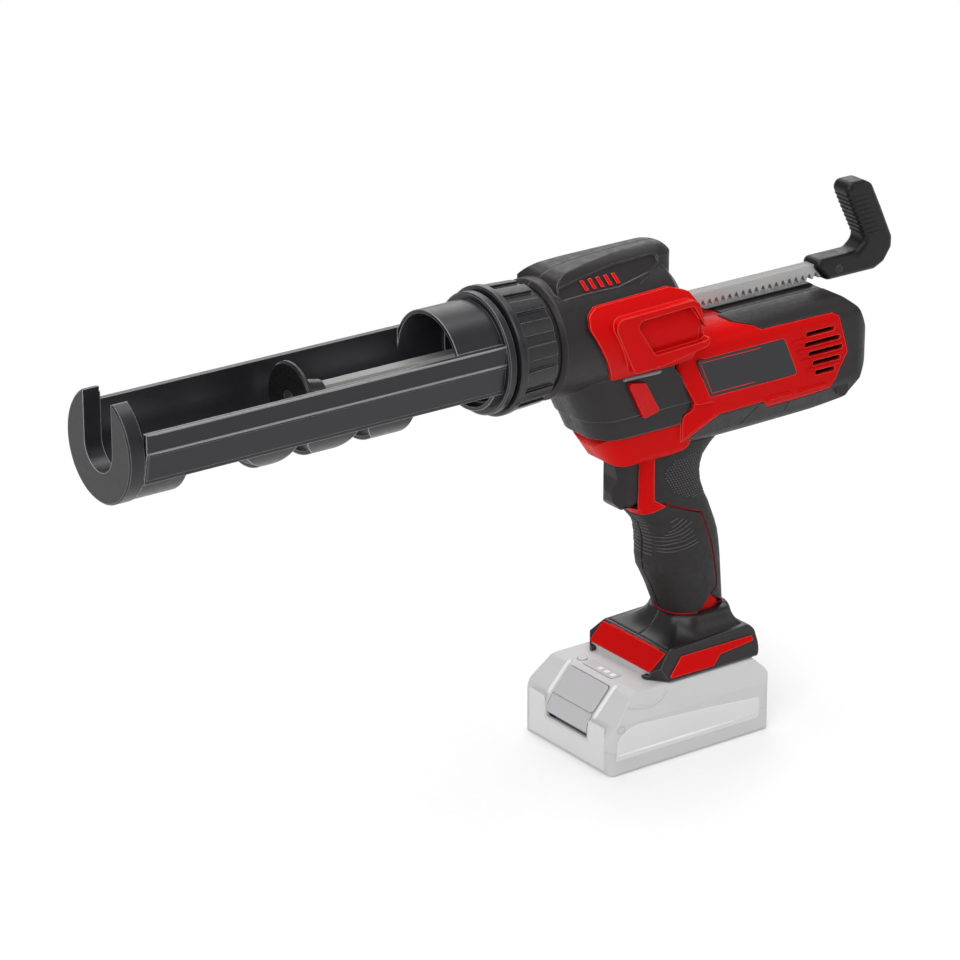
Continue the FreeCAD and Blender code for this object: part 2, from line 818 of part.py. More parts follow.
def pinion_set():
    gap_up = math.pi / 2 + math.pi / pinion_teeth
    teeth = spur_gear(pinion_teeth, rack_module, rack_pressure_angle, gap_up, pinion_x, pinion_z,
                      -pinion_width / 2, pinion_width / 2, tip_play)
    save("pinion_shaft", teeth.fuse(shaft(pinion_z)))
    tooth_down = -math.pi / 2
    gear = spur_gear(reduction_teeth, gear_module, gear_pressure_angle, tooth_down, pinion_x, pinion_z,
                     -spur_near_y - spur_width, -spur_near_y, tip_play)
    save("reduction_gear", gear.cut(cyl_y(shaft_r + seat_gap, -reach, reach, pinion_x, pinion_z)))


def cross_set():
    gap_up = math.pi / 2 + math.pi / cross_teeth
    teeth = spur_gear(cross_teeth, gear_module, gear_pressure_angle, gap_up, pinion_x, cross_z,
                      -spur_near_y - spur_width, -spur_near_y, tip_play)
    save("cross_shaft", teeth.fuse(shaft(cross_z)))
    gear = bevel_solid(bevel_gear_teeth, bevel_pinion_teeth, 0.0,
                       lambda u, v, d: V(pinion_x + u, d, cross_z + v))
    hub = cyl_y(bevel_hub_r, bevel_pinion_r - overrun, bevel_pinion_r + bevel_hub_length, pinion_x, cross_z)
    gear = gear.fuse(hub).cut(cyl_y(shaft_r + seat_gap, -reach, reach, pinion_x, cross_z))
    save("bevel_gear", gear)


def bevel_pinion():
    half_tooth = math.pi / bevel_pinion_teeth
    teeth = bevel_solid(bevel_pinion_teeth, bevel_gear_teeth, half_tooth,
                        lambda u, v, d: V(pinion_x + d, u, cross_z + v))
    back_x = pinion_x + bevel_gear_r
    stem = cyl_x(shaft_r, back_x - overrun, gearbox_front_x + gearbox_bore_depth - fit_gap, cross_z)
    save("bevel_pinion", teeth.fuse(stem))


def gear_plates():
    points = rectangle(pinion_x - gear_plate_half_length, pinion_x + gear_plate_half_length,
                       cross_z - gear_plate_below, pinion_z + gear_plate_above)
    y0 = -gear_plate_inner_y - gear_plate_thickness
    plate = prism_xz(points, y0, -gear_plate_inner_y, gear_plate_corner)
    bushes = []
    for z in (pinion_z, cross_z):
        plate = plate.cut(cyl_y(bush_r + running_gap, -reach, reach, pinion_x, z))
        bush = cyl_y(bush_r, y0, y0 + bush_thickness, pinion_x, z)
        bushes.append(bush.cut(cyl_y(shaft_r + running_gap, -reach, reach, pinion_x, z)))
    save_pair("gear_plate", plate)
    save("shaft_bushes", Part.makeCompound(bushes + [mirrored(b) for b in bushes]))


# Gearbox and motor
def gearbox():
    can = cyl_x(gearbox_r, gearbox_front_x, gearbox_back_x, motor_z)
    nose = cyl_x(gearbox_nose_r, gearbox_front_x - gearbox_nose_length, gearbox_front_x + overrun, motor_z)
    bore_end_x = gearbox_front_x + gearbox_bore_depth
    bore = cyl_x(shaft_r + running_gap, gearbox_front_x - reach, bore_end_x, motor_z)
    tail_x = gearbox_back_x - motor_core_end
    tail = cyl_x(motor_shaft_r + running_gap, tail_x, gearbox_back_x + overrun, motor_z)
    save("gearbox", can.fuse(nose).cut(bore).cut(tail))


def motor():
    can = cyl_x(motor_r, gearbox_back_x, motor_back_x, motor_z)
    can = can.cut(cyl_x(motor_r - motor_wall, gearbox_back_x + motor_wall, motor_back_x + overrun, motor_z))
    can = can.cut(cyl_x(motor_shaft_r + running_gap, gearbox_back_x - overrun, motor_back_x, motor_z))
    save("motor_can", can)
    cap = cyl_x(motor_r - motor_wall - seat_gap, motor_back_x - end_cap_thickness, motor_back_x, motor_z)
    cap = cap.cut(cyl_x(motor_shaft_r + running_gap, gearbox_back_x, motor_back_x + overrun, motor_z))
    save("motor_end_cap", cap)
    core = cyl_x(motor_core_r, gearbox_back_x + motor_core_end, motor_back_x - motor_core_end, motor_z)
    spindle = cyl_x(motor_shaft_r, gearbox_back_x - motor_core_end + fit_gap,
                    motor_back_x + shaft_end_length, motor_z)
    save("motor_rotor", core.fuse(spindle))


def cooling_fan():
    x0 = motor_back_x + fan_front_gap
    disc = cyl_x(fan_r, x0, x0 + fan_disc_thickness, motor_z)
    hub = cyl_x(fan_hub_r, x0, x0 + fan_width, motor_z)
    blade = box(x0, x0 + fan_width, fan_hub_r - overrun, fan_r, motor_z, motor_z + fan_blade_thickness)
    blades = []
    for i in range(fan_blades):
        turned = blade.copy()
        turned.rotate(V(0, 0, motor_z), V(1, 0, 0), 360.0 * i / fan_blades)
        blades.append(turned)
    fan = disc.fuse([hub] + blades)
    bore = cyl_x(motor_shaft_r + running_gap, x0 - overrun, x0 + fan_width + overrun, motor_z)
    save("cooling_fan", fan.cut(bore))


def gearbox_space():
    """Room that the casings and guides leave round the gearbox."""
    return cyl_x(gearbox_r + fit_gap, gearbox_front_x - gearbox_nose_length - fit_gap,
                 gearbox_back_x + fit_gap, motor_z)


def rack_guides():
    """Two guide discs inside the nose; the push rod slides through them."""
    front_x = nose_front_x + shell_wall + seat_gap
    back_x = nose_back_x - shell_wall - seat_gap
    width = gear_plate_thickness * 2
    tail_r = nose_bore_r - nose_tail_edge
    guides = [("rack_guide_front", front_x, nose_bore_r), ("rack_guide_rear", back_x - width, tail_r)]
    for name, x0, radius in guides:
        disc = cyl_x(radius - seat_gap, x0, x0 + width)
        disc = disc.cut(gearbox_space())
        save(name, disc.cut(rack_hole(x0 - overrun, x0 + width + overrun, slide_gap)))


# Casing screws and their bosses
def screw_places():
    """Each place is x, z and the half width of the casing there."""
    a, b, c = hood_screw_shares
    hood = (hood_x + hood_length * a, hood_z + hood_height * b, hood_half_width * c)
    pod = [(x, z, pod_half_width) for x, z in
           place([pod_top_screw_shares, pod_low_screw_shares], pod_x, pod_z, pod_length, pod_height)]
    post = grip_half_width - pad_thickness - shell_wall / 2
    grip = [(x, z, post) for x, z in grip_points_of([grip_mid_screw_shares, grip_low_screw_shares])]
    return {"nose": [hood], "bumper": pod, "body": grip}


def bosses(owner):
    """Posts on the left half that take the screws of one casing."""
    places = screw_places()[owner]
    return [cyl_y(screw_boss_r, -half + shell_wall / 2, -seam / 2, x, z) for x, z, half in places]


def screw_holes(owner, side):
    """Pilot holes on the left half, or through holes with sunk heads on the right half."""
    holes = []
    for x, z, half in screw_places()[owner]:
        if side == "left":
            holes.append(cyl_y(screw_r + seat_gap, -screw_grip - overrun, overrun, x, z))
        else:
            holes.append(cyl_y(screw_r + seat_gap, -overrun, half + overrun, x, z))
            head_y = half - screw_sink - screw_head_height
            holes.append(cyl_y(screw_head_r + seat_gap, head_y, half + reach, x, z))
    return holes


def save_drilled(name, owner, left, right):
    """Cut the screw holes of one casing into both of its halves."""
    for hole in screw_holes(owner, "left"):
        left = left.cut(hole)
    for hole in screw_holes(owner, "right"):
        right = right.cut(hole)
    save(name + "_left", left)
    save(name + "_right", right)


def casing_screws():
    screws = []
    for places in screw_places().values():
        for x, z, half in places:
            head_y = half - screw_sink - screw_head_height
            shank = cyl_y(screw_r, -screw_grip, head_y, x, z)
            head = cyl_y(screw_head_r, head_y, head_y + screw_head_height, x, z)
            drive = box(x - screw_head_r / 2, x + screw_head_r / 2, head_y + screw_head_height / 2,
                        head_y + screw_head_height + overrun, z - screw_r / 4, z + screw_r / 4)
            screws.append(shank.fuse(head).cut(drive))
    save("casing_screws", Part.makeCompound(screws))


# Nose casing
def hood_section(inset):
    """Outline across the hood, as (y, z) points."""
    top = hood_z + hood_height - inset
    half = hood_half_width - inset
    ridge = hood_ridge_half_width - inset / 2
    shoulder = hood_shoulder_z - inset / 2
    low = hood_z + inset
    return [(-half, low), (-half, shoulder), (-ridge, top), (ridge, top), (half, shoulder), (half, low)]


def hood_end(inset):
    """Rounded rear end: half of the hood's section, turned about an upright line."""
    def spot(p):
        return V(hood_turn_x, p[0], p[1])
    tail = hood_tail_half_width - inset
    window = outline(rectangle(0, tail, hood_z + inset, hood_z + 2 * hood_height), spot)
    half = outline(hood_section(inset), spot, hood_section_corner).common(window).Faces[0]
    return half.revolve(V(hood_turn_x, 0, 0), V(0, 0, 1), -180)


def hood_solid(inset):
    points = place(hood_shares, hood_x, hood_z, hood_length, hood_height)
    half = hood_half_width - inset
    tail = hood_tail_half_width - inset
    x0, knee = hood_x + inset, hood_x + hood_taper_share * hood_length
    past = hood_length / 4
    x1, end = hood_turn_x + past, tail - (half - tail) / (hood_turn_x - knee) * past
    plan = [(x0, -half), (knee, -half), (x1, -end), (x1, end), (knee, half), (x0, half)]
    solid = side_prism(points, reach, inset, hood_corner)
    solid = solid.common(prism_yz(hood_section(inset), -reach, reach, hood_section_corner))
    solid = solid.common(prism_xy(plan, 0, reach, hood_plan_corner - inset))
    front = solid.common(box(-reach, hood_turn_x, -reach, reach, 0, reach))
    return front.fuse(hood_end(inset))


def hood_slope():
    """Up the hood's left slope: a point on it, the direction up the slope and the outward normal."""
    low = V(0, -hood_half_width, hood_shoulder_z)
    high = V(0, -hood_ridge_half_width, hood_z + hood_height)
    up = (high - low).normalize()
    return low, up, V(0, -up.z, up.y), (high - low).Length


def on_slope(shares, sink, lift):
    """Prism on the hood's slope, from the sink below the surface to the lift above it."""
    low, up, out, length = hood_slope()

    def spot(p):
        return low + up * p[1] + out * (-sink) + V(p[0], 0, 0)
    points = [(hood_x + a * hood_length, b * length) for a, b in shares]
    return outline(points, spot, 0.0).extrude(out * (sink + lift))


def hood_bars():
    bars = []
    width_share = bar_width / hood_length
    for i in range(bar_count):
        low_share = bar_first_share + i * bar_step_share
        high_share = low_share - bar_lean_share
        shares = [(low_share, bar_low_share), (low_share + width_share, bar_low_share),
                  (high_share + width_share, bar_high_share), (high_share, bar_high_share)]
        bars.append(on_slope(shares, hood_panel_depth - seat_gap, -hood_panel_depth + bar_proud + seat_gap))
    save("hood_bars", Part.makeCompound(bars + [mirrored(b) for b in bars]))


def prow(points, half, inset, radius):
    """Block with a sloping front whose two corners are rounded; the first two points give the front edge."""
    (x1, z1), (x0, z0) = points[:2]
    lean = (x1 - x0) / (z1 - z0)
    low = z0 - overrun
    front = x0 - lean * overrun + inset
    plan = rectangle(front, front + reach, -half + inset, half - inset)
    face = outline(plan, lambda p: V(p[0], p[1], low), radius - inset)
    return face.extrude(V(lean, 0, 1) * (z1 - low + overrun))


def chin_solid(inset):
    points = place(chin_shares, chin_x, chin_z, chin_length, chin_height)
    solid = prow(points, chin_half_width, inset, chin_front_round)
    if inset:
        points = [(x, z - overrun * 2 if z == chin_z else z) for x, z in points]
        return solid.common(inset_xz(points, -chin_half_width, chin_half_width, inset))
    return solid.common(prism_xz(points, -chin_half_width, chin_half_width))


def nose_left(pod):
    body = disc_x(nose_r, nose_edge, nose_front_x, nose_back_x, nose_tail_edge)
    outer = body.fuse([hood_solid(0), chin_solid(0)])
    tail_x = nose_back_x - shell_wall - nose_tail_edge
    inner = cyl_x(nose_bore_r, nose_front_x + shell_wall, tail_x)
    inner = inner.fuse(cone_x(nose_bore_r, nose_bore_r - nose_tail_edge, tail_x, nose_back_x - shell_wall))
    inner = inner.fuse([hood_solid(shell_wall), chin_solid(shell_wall)])
    shell = outer.cut(inner)
    shell = shell.cut(cyl_x(nose_mouth_r, nose_front_x - overrun, nose_front_x + shell_wall + overrun))
    shell = shell.cut(rack_hole(nose_back_x - shell_wall - overrun, nose_back_x + overrun, fit_gap * 2))
    shell = shell.cut(pod).cut(gearbox_space())
    shell = left_half(shell).fuse(bosses("nose"))
    panel = on_slope(hood_panel_shares, hood_panel_depth, overrun)
    points = place(chin_shares, chin_x, chin_z, chin_length, chin_height)
    lower = prow(points, chin_half_width, chin_step_depth, chin_front_round)
    step = box(-reach, reach, -reach, 0, chin_z - overrun, chin_step_z).cut(lower)
    return shell.cut(panel).cut(step)


def nose_shells(pod):
    left = nose_left(pod)
    right = mirrored(left)
    points = place(button_shares, button_x, button_z, button_length, button_height)
    hole = outline(points, lambda p: V(p[0], -reach, p[1]), button_corner).makeOffset2D(fit_gap)
    outside = box(-reach, reach, -reach, -nose_bore_r / 2, 0, reach)
    left = left.cut(hole.extrude(V(0, reach - seam, 0)).common(outside))
    save_drilled("nose_shell", "nose", left, right)


def gear_covers():
    points = place(cover_shares, cover_x, cover_z, cover_length, cover_height)
    back_x = nose_back_x + seat_gap + cover_cap
    inside = cyl_x(nose_r + seat_gap, cover_x - overrun, nose_back_x + seat_gap)
    skin = cyl_x(nose_r + seat_gap + cover_skin, cover_x, back_x)
    skin = skin.common(prism_xz(points, -reach, -seam / 2, cover_corner))
    block_points = place(cover_block_shares, cover_x, cover_z, cover_length, cover_height)
    block = prism_xz(block_points, -cover_block_face_y, -nose_r / 2, cover_block_corner)
    block = block.common(box(-reach, back_x, -reach, 0, 0, reach).fuse(
        box(-reach, reach, -reach, -pod_half_width - fit_gap, 0, reach)))
    pocket_points = place(cover_pocket_shares, cover_x, cover_z, cover_length, cover_height)
    pocket = prism_xz(pocket_points, -reach, -cover_pocket_y, cover_block_corner)
    pocket = pocket.cut(cyl_x(nose_r + seat_gap + cover_skin / 2, cover_x - overrun, nose_back_x + overrun))
    cover = skin.fuse(block).cut(inside).cut(pocket).cut(gearbox_space())
    cover = cover.cut(hood_solid(0)).cut(rack_hole(nose_back_x - overrun, back_x + overrun, fit_gap * 2))
    save_pair("gear_cover", cover)


# Body shells, bumpers and handle
def pod_solid(inset):
    points = place(pod_shares, pod_x, pod_z, pod_length, pod_height)
    side = side_prism(points, reach, inset, pod_corner)
    half = pod_half_width - inset
    top = pod_z + pod_height - inset
    keel = pod_keel_half_width - inset / 2
    low = pod_z + inset
    knee = pod_z + pod_keel_share * pod_height
    section = [(-keel, low), (keel, low), (half, knee), (half, top), (-half, top), (-half, knee)]
    x0, x1 = [pod_x + share * pod_length for share in pod_taper_shares]
    x2 = pod_x + pod_length - inset
    front = pod_front_half_width - inset
    plan = [(x0, -front), (x1, -half), (x2, -half), (x2, half), (x1, half), (x0, front)]
    solid = side.common(prism_yz(section, -reach, reach, pod_section_corner - inset))
    solid = solid.common(prism_xy(plan, 0, reach, pod_rear_round - inset))
    x0, x1 = [pod_x + share * pod_length for share in pod_low_taper_shares]
    away = half + overrun
    wedge = prism_xy([(x0, front), (x1, half), (x1, away), (x0 - away, away), (x0 - away, front)], 0,
                     pod_z + pod_low_share * pod_height)
    return solid.cut(wedge).cut(mirrored(wedge))


def band_solid(inset):
    points = place(band_shares, band_x, band_z, band_length, band_height)
    half = band_half_width - inset
    solid = prow(points, band_half_width, inset, band_front_round)
    if inset:
        points = [(x, z + overrun * 2 if z > band_z + band_height * band_top_share else z) for x, z in points]
        solid = solid.common(inset_xz(points, -half, half, inset))
    else:
        solid = solid.common(prism_xz(points, -half, half, band_nose_round))
    section = rectangle(-half, half, band_z + inset, band_z + band_height * 3)
    return solid.common(prism_yz(section, -reach, reach, band_edge_round))


def smooth(knots, values, knot):
    """Value between the rows of a table, on a curve that doesn't swing past them."""
    steps = [(b - a) / (d - c) for a, b, c, d in zip(values, values[1:], knots, knots[1:])]
    inner = [0.0 if a * b <= 0 else 2 * a * b / (a + b) for a, b in zip(steps, steps[1:])]
    lean = steps[:1] + inner + steps[-1:]
    i = max(k for k in range(len(steps)) if knots[k] <= knot)
    span = knots[i + 1] - knots[i]
    t = (knot - knots[i]) / span
    start = (1 + 2 * t) * (1 - t) ** 2 * values[i] + t * (1 - t) ** 2 * span * lean[i]
    return start + t * t * (3 - 2 * t) * values[i + 1] + t * t * (t - 1) * span * lean[i + 1]


def grip_section(drop_share, inset):
    """Oval outline of the handle at one height, drawn in by the inset."""
    knots, fronts, rears, widths = zip(*grip_shares)
    front = grip_x + smooth(knots, fronts, drop_share) * grip_length + inset
    rear = grip_x + smooth(knots, rears, drop_share) * grip_length - inset
    half = smooth(knots, widths, drop_share) * grip_half_width - inset
    middle = (front + rear) / 2
    z = grip_top_z - drop_share * grip_height
    points = []
    for i in range(grip_points):
        angle = 2 * math.pi * (i + 0.5) / grip_points
        c, s = math.cos(angle), math.sin(angle)
        u = math.copysign(abs(c) ** (2 / grip_fullness), c)
        v = math.copysign(abs(s) ** (2 / grip_fullness), s)
        points.append(V(middle + u * (rear - front) / 2, v * half, z))
    curve = Part.BSplineCurve()
    curve.interpolate(points, True)
    return Part.Wire(curve.toShape())


def grip_loft(inset):
    return Part.makeLoft([grip_section(i / grip_rows, inset) for i in range(grip_rows + 1)], True, True)


def grip_points_of(shares):
    return [(grip_x + a * grip_length, grip_top_z - b * grip_height) for a, b in shares]


def bumper_region(grow):
    points = place(bumper_shares, pod_x, pod_z, pod_length, pod_height)
    face = outline(points, lambda p: V(p[0], -reach, p[1]))
    if grow:
        face = face.makeOffset2D(grow)
    return face.extrude(V(0, 2 * reach, 0))


def label_points():
    return [(label_x, label_z + label_height), (label_x + label_length - label_lean, label_z + label_height),
            (label_x + label_length, label_z), (label_x + label_lean, label_z)]


def vents():
    cuts = []
    for i in range(vent_count):
        z = pod_z + (vent_first_z_share - i * vent_step_share) * pod_height
        x0 = pod_x + vent_front_shares[i] * pod_length
        x1 = pod_x + vent_back_shares[i] * pod_length
        points = rectangle(x0, x1, z - vent_height / 2, z + vent_height / 2)
        cuts.append(prism_xz(points, -reach, -pod_half_width / 2, vent_height * vent_corner_share))
    return cuts


def cradle(share, space):
    """Rib inside the body that carries the motor."""
    x0 = gearbox_back_x + share * (motor_back_x - gearbox_back_x)
    rib = space.common(box(x0, x0 + cradle_thickness, -reach, reach, 0, reach))
    return rib.cut(cyl_x(motor_r + seat_gap, x0 - overrun, x0 + cradle_thickness + overrun, motor_z))


def rack_channel():
    """Shallow way along the body's top, under the push rod."""
    low = pod_z + pod_height - channel_depth
    return box(-reach, reach, -channel_half_width, channel_half_width, low, reach)


def body_shells(pod):
    core = grip_loft(pad_thickness)
    core_space = grip_loft(pad_thickness + shell_wall)
    space = pod_solid(shell_wall).fuse([band_solid(shell_wall), core_space])
    open_half = chin_half_width - shell_wall
    open_front = box(pod_x - pod_length / 4, pod_x + pod_length * pod_open_share, -open_half, open_half,
                     band_z + band_height, cover_z)
    strip = grip_loft(0).common(prism_xz(grip_points_of(strip_shares), -reach, reach))
    strip = strip.common(box(-reach, reach, -reach, reach, 0, grip_top_z - grip_height * strip_top_share))
    red = pod.cut(bumper_region(0)).fuse([band_solid(0), core, strip])
    shell = red.cut(space).cut(open_front).cut(gearbox_space())
    ribs = [cradle(share, pod_solid(shell_wall).cut(bumper_region(0))) for share in cradle_shares]
    slot = box(trigger_x - overrun, grip_x + grip_length / 2, -trigger_half_width - fit_gap,
               trigger_half_width + fit_gap, trigger_z - fit_gap, band_z + shell_wall + overrun)
    label = prism_xz(label_points(), -reach, -pod_half_width + label_depth, label_corner)
    shell = shell.fuse(ribs).cut(slot).cut(rack_channel()).cut(label)
    left = left_half(shell)
    for vent in vents():
        left = left.cut(vent)
    left = left.fuse(bosses("body"))
    save_drilled("body_shell", "body", left, mirrored(left))


def rear_bumpers(pod):
    dark = pod.cut(pod_solid(shell_wall)).common(bumper_region(-bumper_gap))
    dark = left_half(dark.cut(rack_channel())).cut(grip_loft(-seat_gap)).cut(band_solid(0))
    left = dark.fuse(bosses("bumper"))
    save_drilled("rear_bumper", "bumper", left, mirrored(left))


def label_plates():
    plate = outline(label_points(), lambda p: V(p[0], -pod_half_width + label_depth - label_thickness, p[1]),
                    label_corner).makeOffset2D(-seat_gap)
    save_pair("label_plate", plate.extrude(V(0, label_thickness - seat_gap / 2, 0)))


def accent_strip():
    """Narrow slot along the accent line, where the red core shows between the pads."""
    points = grip_points_of(accent_shares)
    slots = []
    for (x0, z0), (x1, z1) in zip(points, points[1:]):
        length = math.hypot(x1 - x0, z1 - z0)
        nx, nz = (z1 - z0) / length * accent_width / 2, -(x1 - x0) / length * accent_width / 2
        corners = [(x0 + nx, z0 + nz), (x1 + nx, z1 + nz), (x1 - nx, z1 - nz), (x0 - nx, z0 - nz)]
        slots.append(prism_xz(corners, -reach, reach))
    joints = [cyl_y(accent_width / 2, -reach, reach, x, z) for x, z in points[1:-1]]
    return slots[0].fuse(slots[1:] + joints)


def grip_pads(pod):
    pads = grip_loft(0).cut(grip_loft(pad_thickness - seat_gap))
    pads = pads.cut(box(-reach, reach, -reach, reach, 0, neck_z + seat_gap)).cut(pod)
    clear = outline(grip_points_of(strip_shares), lambda q: V(q[0], -reach, q[1])).makeOffset2D(seat_gap)
    pads = pads.cut(clear.extrude(V(0, 2 * reach, 0))).cut(band_solid(0))
    pads = left_half(pads).cut(accent_strip()).cut(prism_xz(grip_points_of(heel_shares), -reach, reach))
    solids = sorted(pads.Solids, key=lambda s: -s.Volume)
    palm, finger = sorted(solids[:2], key=lambda s: -s.CenterOfMass.z)
    for name, pad in (("grip_palm_pad", palm), ("grip_finger_pad", finger)):
        save(name + "_left", pad)
        right = mirrored(pad)
        for hole in screw_holes("body", "right"):
            right = right.cut(hole)
        save(name + "_right", right)


# Trigger, switch and release button
def trigger():
    points = place(trigger_shares, trigger_x, trigger_z, trigger_length, trigger_height)
    side = prism_xz(points, -trigger_half_width, trigger_half_width, trigger_corner)
    plan = rectangle(trigger_x, trigger_x + 2 * trigger_length, -trigger_half_width, trigger_half_width)
    section = rectangle(-trigger_half_width, trigger_half_width, trigger_z, trigger_z + 2 * trigger_height)
    blade = side.common(prism_xy(plan, 0, reach, trigger_front_round))
    blade = blade.common(prism_yz(section, -reach, reach, trigger_low_round))
    back_x = trigger_x + trigger_length
    stem_z = trigger_z + trigger_height * trigger_stem_share
    stem = cyl_x(trigger_stem_r, back_x - overrun, back_x + trigger_stem_length, stem_z)
    save("trigger", blade.fuse(stem))
    switch_x = back_x + trigger_travel + fit_gap
    low = stem_z - switch_height / 2
    points = rectangle(switch_x, switch_x + switch_length, low, low + switch_height)
    body = prism_xz(points, -switch_half_width, switch_half_width, switch_corner)
    hole = cyl_x(trigger_stem_r + running_gap, switch_x - overrun,
                 back_x + trigger_stem_length + trigger_travel + fit_gap, stem_z)
    save("trigger_switch", body.cut(hole))


def release_button():
    points = place(button_shares, button_x, button_z, button_length, button_height)
    flange_y = -chin_half_width + shell_wall + fit_gap
    cap = prism_xz(points, -chin_half_width - button_proud, flange_y + button_flange_thickness, button_corner)
    face = outline(points, lambda p: V(p[0], flange_y, p[1]), button_corner).makeOffset2D(button_flange)
    save("release_button", cap.fuse(face.extrude(V(0, button_flange_thickness, 0))))


# Foot
def lozenge(x0, x1, nose_half, half, slant):
    """Plan outline that is narrower at both ends."""
    right = [(x0, nose_half), (x0 + slant, half), (x1 - slant / 2, half), (x1, nose_half)]
    return [(x, -y) for x, y in right] + list(reversed(right))


def foot_half(z):
    """Half width of the foot at a height; its sides lean in towards the top."""
    return foot_half_width - (foot_half_width - foot_top_half_width) * (z - foot_z) / foot_height


def foot_block(inset):
    points = place(foot_shares, foot_x, foot_z, foot_length, foot_height)
    half = foot_half_width - inset
    front_half = foot_front_half_width - inset
    side = side_prism(points, half, inset, foot_corner)
    x0, x1 = foot_x, foot_x + foot_length - inset
    slant = x0 + foot_front_plan_share * foot_length
    plan = [(x0, -front_half), (slant, -half), (x1, -half), (x1, half), (slant, half), (x0, front_half)]
    low, high = foot_z - overrun, foot_top_z + overrun
    narrow, wide = foot_half(high) - inset, foot_half(low) - inset
    section = [(-wide, low), (wide, low), (narrow, high), (-narrow, high)]
    return side.common(prism_xy(plan, 0, reach, foot_plan_corner)).common(prism_yz(section, -reach, reach))


def flare_wire(share, z, inset):
    """Plan outline of the flared neck, from the foot's shoulder at share 0 to the handle at share 1."""
    low = foot_top_z - foot_height * foot_shoulder_drop_share
    front = foot_x + foot_length * foot_shoulder_front_share
    back = foot_x + foot_length - foot_shoulder_inset
    wide = foot_half(low) - foot_shoulder_inset
    first = (front, back, foot_shoulder_nose_half_width, wide, foot_shoulder_slant, foot_shoulder_corner)
    last = (neck_x, neck_x + neck_length, neck_nose_half_width, neck_half_width, neck_slant, neck_corner)
    x0, x1, nose_half, half, slant, corner = [a + (b - a) * share for a, b in zip(first, last)]
    points = lozenge(x0 + inset, x1 - inset, nose_half - inset / 2, half - inset, slant)
    return outline(points, lambda p: V(p[0], p[1], z), corner).OuterWire


def foot_solid(inset):
    low = foot_top_z - foot_height * foot_shoulder_drop_share
    high = neck_z - inset
    middle = low + (high - low) * foot_flare_rise_share
    levels = [(0, low), (foot_flare_share, middle), (1, high)]
    wires = [flare_wire(share, z, inset) for share, z in levels]
    return foot_block(inset).fuse(Part.makeLoft(wires, True, True))


def foot_panel_points():
    """Two ends of the sloping front face that the panel covers, as (x, z)."""
    low, high = place(foot_shares, foot_x, foot_z, foot_length, foot_height)[1:3]
    return [(low[0] + (high[0] - low[0]) * s, low[1] + (high[1] - low[1]) * s) for s in panel_shares]


def slope_slab(half, sink, lift, inset):
    (x0, z0), (x1, z1) = foot_panel_points()
    length = math.hypot(x1 - x0, z1 - z0)
    along, out = V(x1 - x0, 0, z1 - z0).normalize(), V(-(z1 - z0), 0, x1 - x0).normalize()
    start = V(x0, 0, z0) + out * (-sink)
    corners = rectangle(inset, length - inset, -half + inset, half - inset)
    face = outline(corners, lambda p: start + along * p[0] + V(0, p[1], 0), panel_corner)
    return face.extrude(out * (sink + lift))


def stripe_face(inset):
    points = place(stripe_shares, foot_x, foot_z, foot_length, foot_height)
    face = outline(points, lambda p: V(p[0], -foot_half(p[1]), p[1]), stripe_corner)
    return face.makeOffset2D(-inset) if inset else face


def foot_out():
    """Outward direction of the foot's leaning left side."""
    return V(0, -foot_height, foot_half_width - foot_top_half_width).normalize()


def foot():
    shell = foot_solid(0).cut(foot_solid(foot_floor))
    core = grip_loft(pad_thickness - seat_gap)
    rail_top = pack_top_z + tongue_height + fit_gap
    x0, x1 = foot_x - overrun, tongue_back_x + fit_gap
    half, flange_half = tongue_half_width + fit_gap, tongue_flange_half_width + fit_gap
    tongue_way = box(x0, x1, -half, half, foot_z - overrun, rail_top)
    flange_low = rail_top - tongue_flange_height - 2 * fit_gap
    flange_way = box(x0, x1, -flange_half, flange_half, flange_low, rail_top)
    shell = shell.cut(tongue_way.fuse(flange_way)).cut(core)
    shell = shell.cut(slope_slab(panel_half_width, panel_depth, reach / 4, 0))
    out = foot_out()
    band = stripe_face(0)
    band.translate(out * (-stripe_depth))
    save_pair("foot_shell", left_half(shell.cut(band.extrude(out * (stripe_depth + overrun)))))
    proud = panel_thickness - panel_depth
    save("foot_front_panel", slope_slab(panel_half_width, panel_depth - seat_gap, proud, seat_gap))
    stripe = stripe_face(seat_gap)
    stripe.translate(out * (seat_gap - stripe_depth))
    save_pair("foot_stripe", stripe.extrude(out * stripe_thickness))


def terminals():
    x0 = tongue_back_x + fit_gap
    z0 = foot_z + foot_floor + seat_gap
    block = box(x0, x0 + terminal_length, -terminal_half_width, terminal_half_width, z0, z0 + terminal_height)
    blades = []
    for i in range(blade_count):
        y = (i - (blade_count - 1) / 2) * blade_pitch
        half = blade_thickness / 2
        low = z0 + seat_gap
        high, end_x = low + blade_height, x0 + terminal_length / 2
        blades.append(box(x0 - blade_length, end_x, y - half, y + half, low, high))
        block = block.cut(box(x0 - overrun, end_x + seat_gap, y - half - seat_gap, y + half + seat_gap,
                              low - seat_gap, high + seat_gap))
    save("terminal_block", block)
    save("terminal_blades", Part.makeCompound(blades))


def control_board():
    """Board that stands under the upper screw post of the handle."""
    top = screw_places()["body"][0][1] - screw_boss_r - seat_gap
    half = board_thickness / 2
    save("control_board", box(control_board_x, control_board_x + control_board_length, -half, half,
                              top - control_board_height, top))


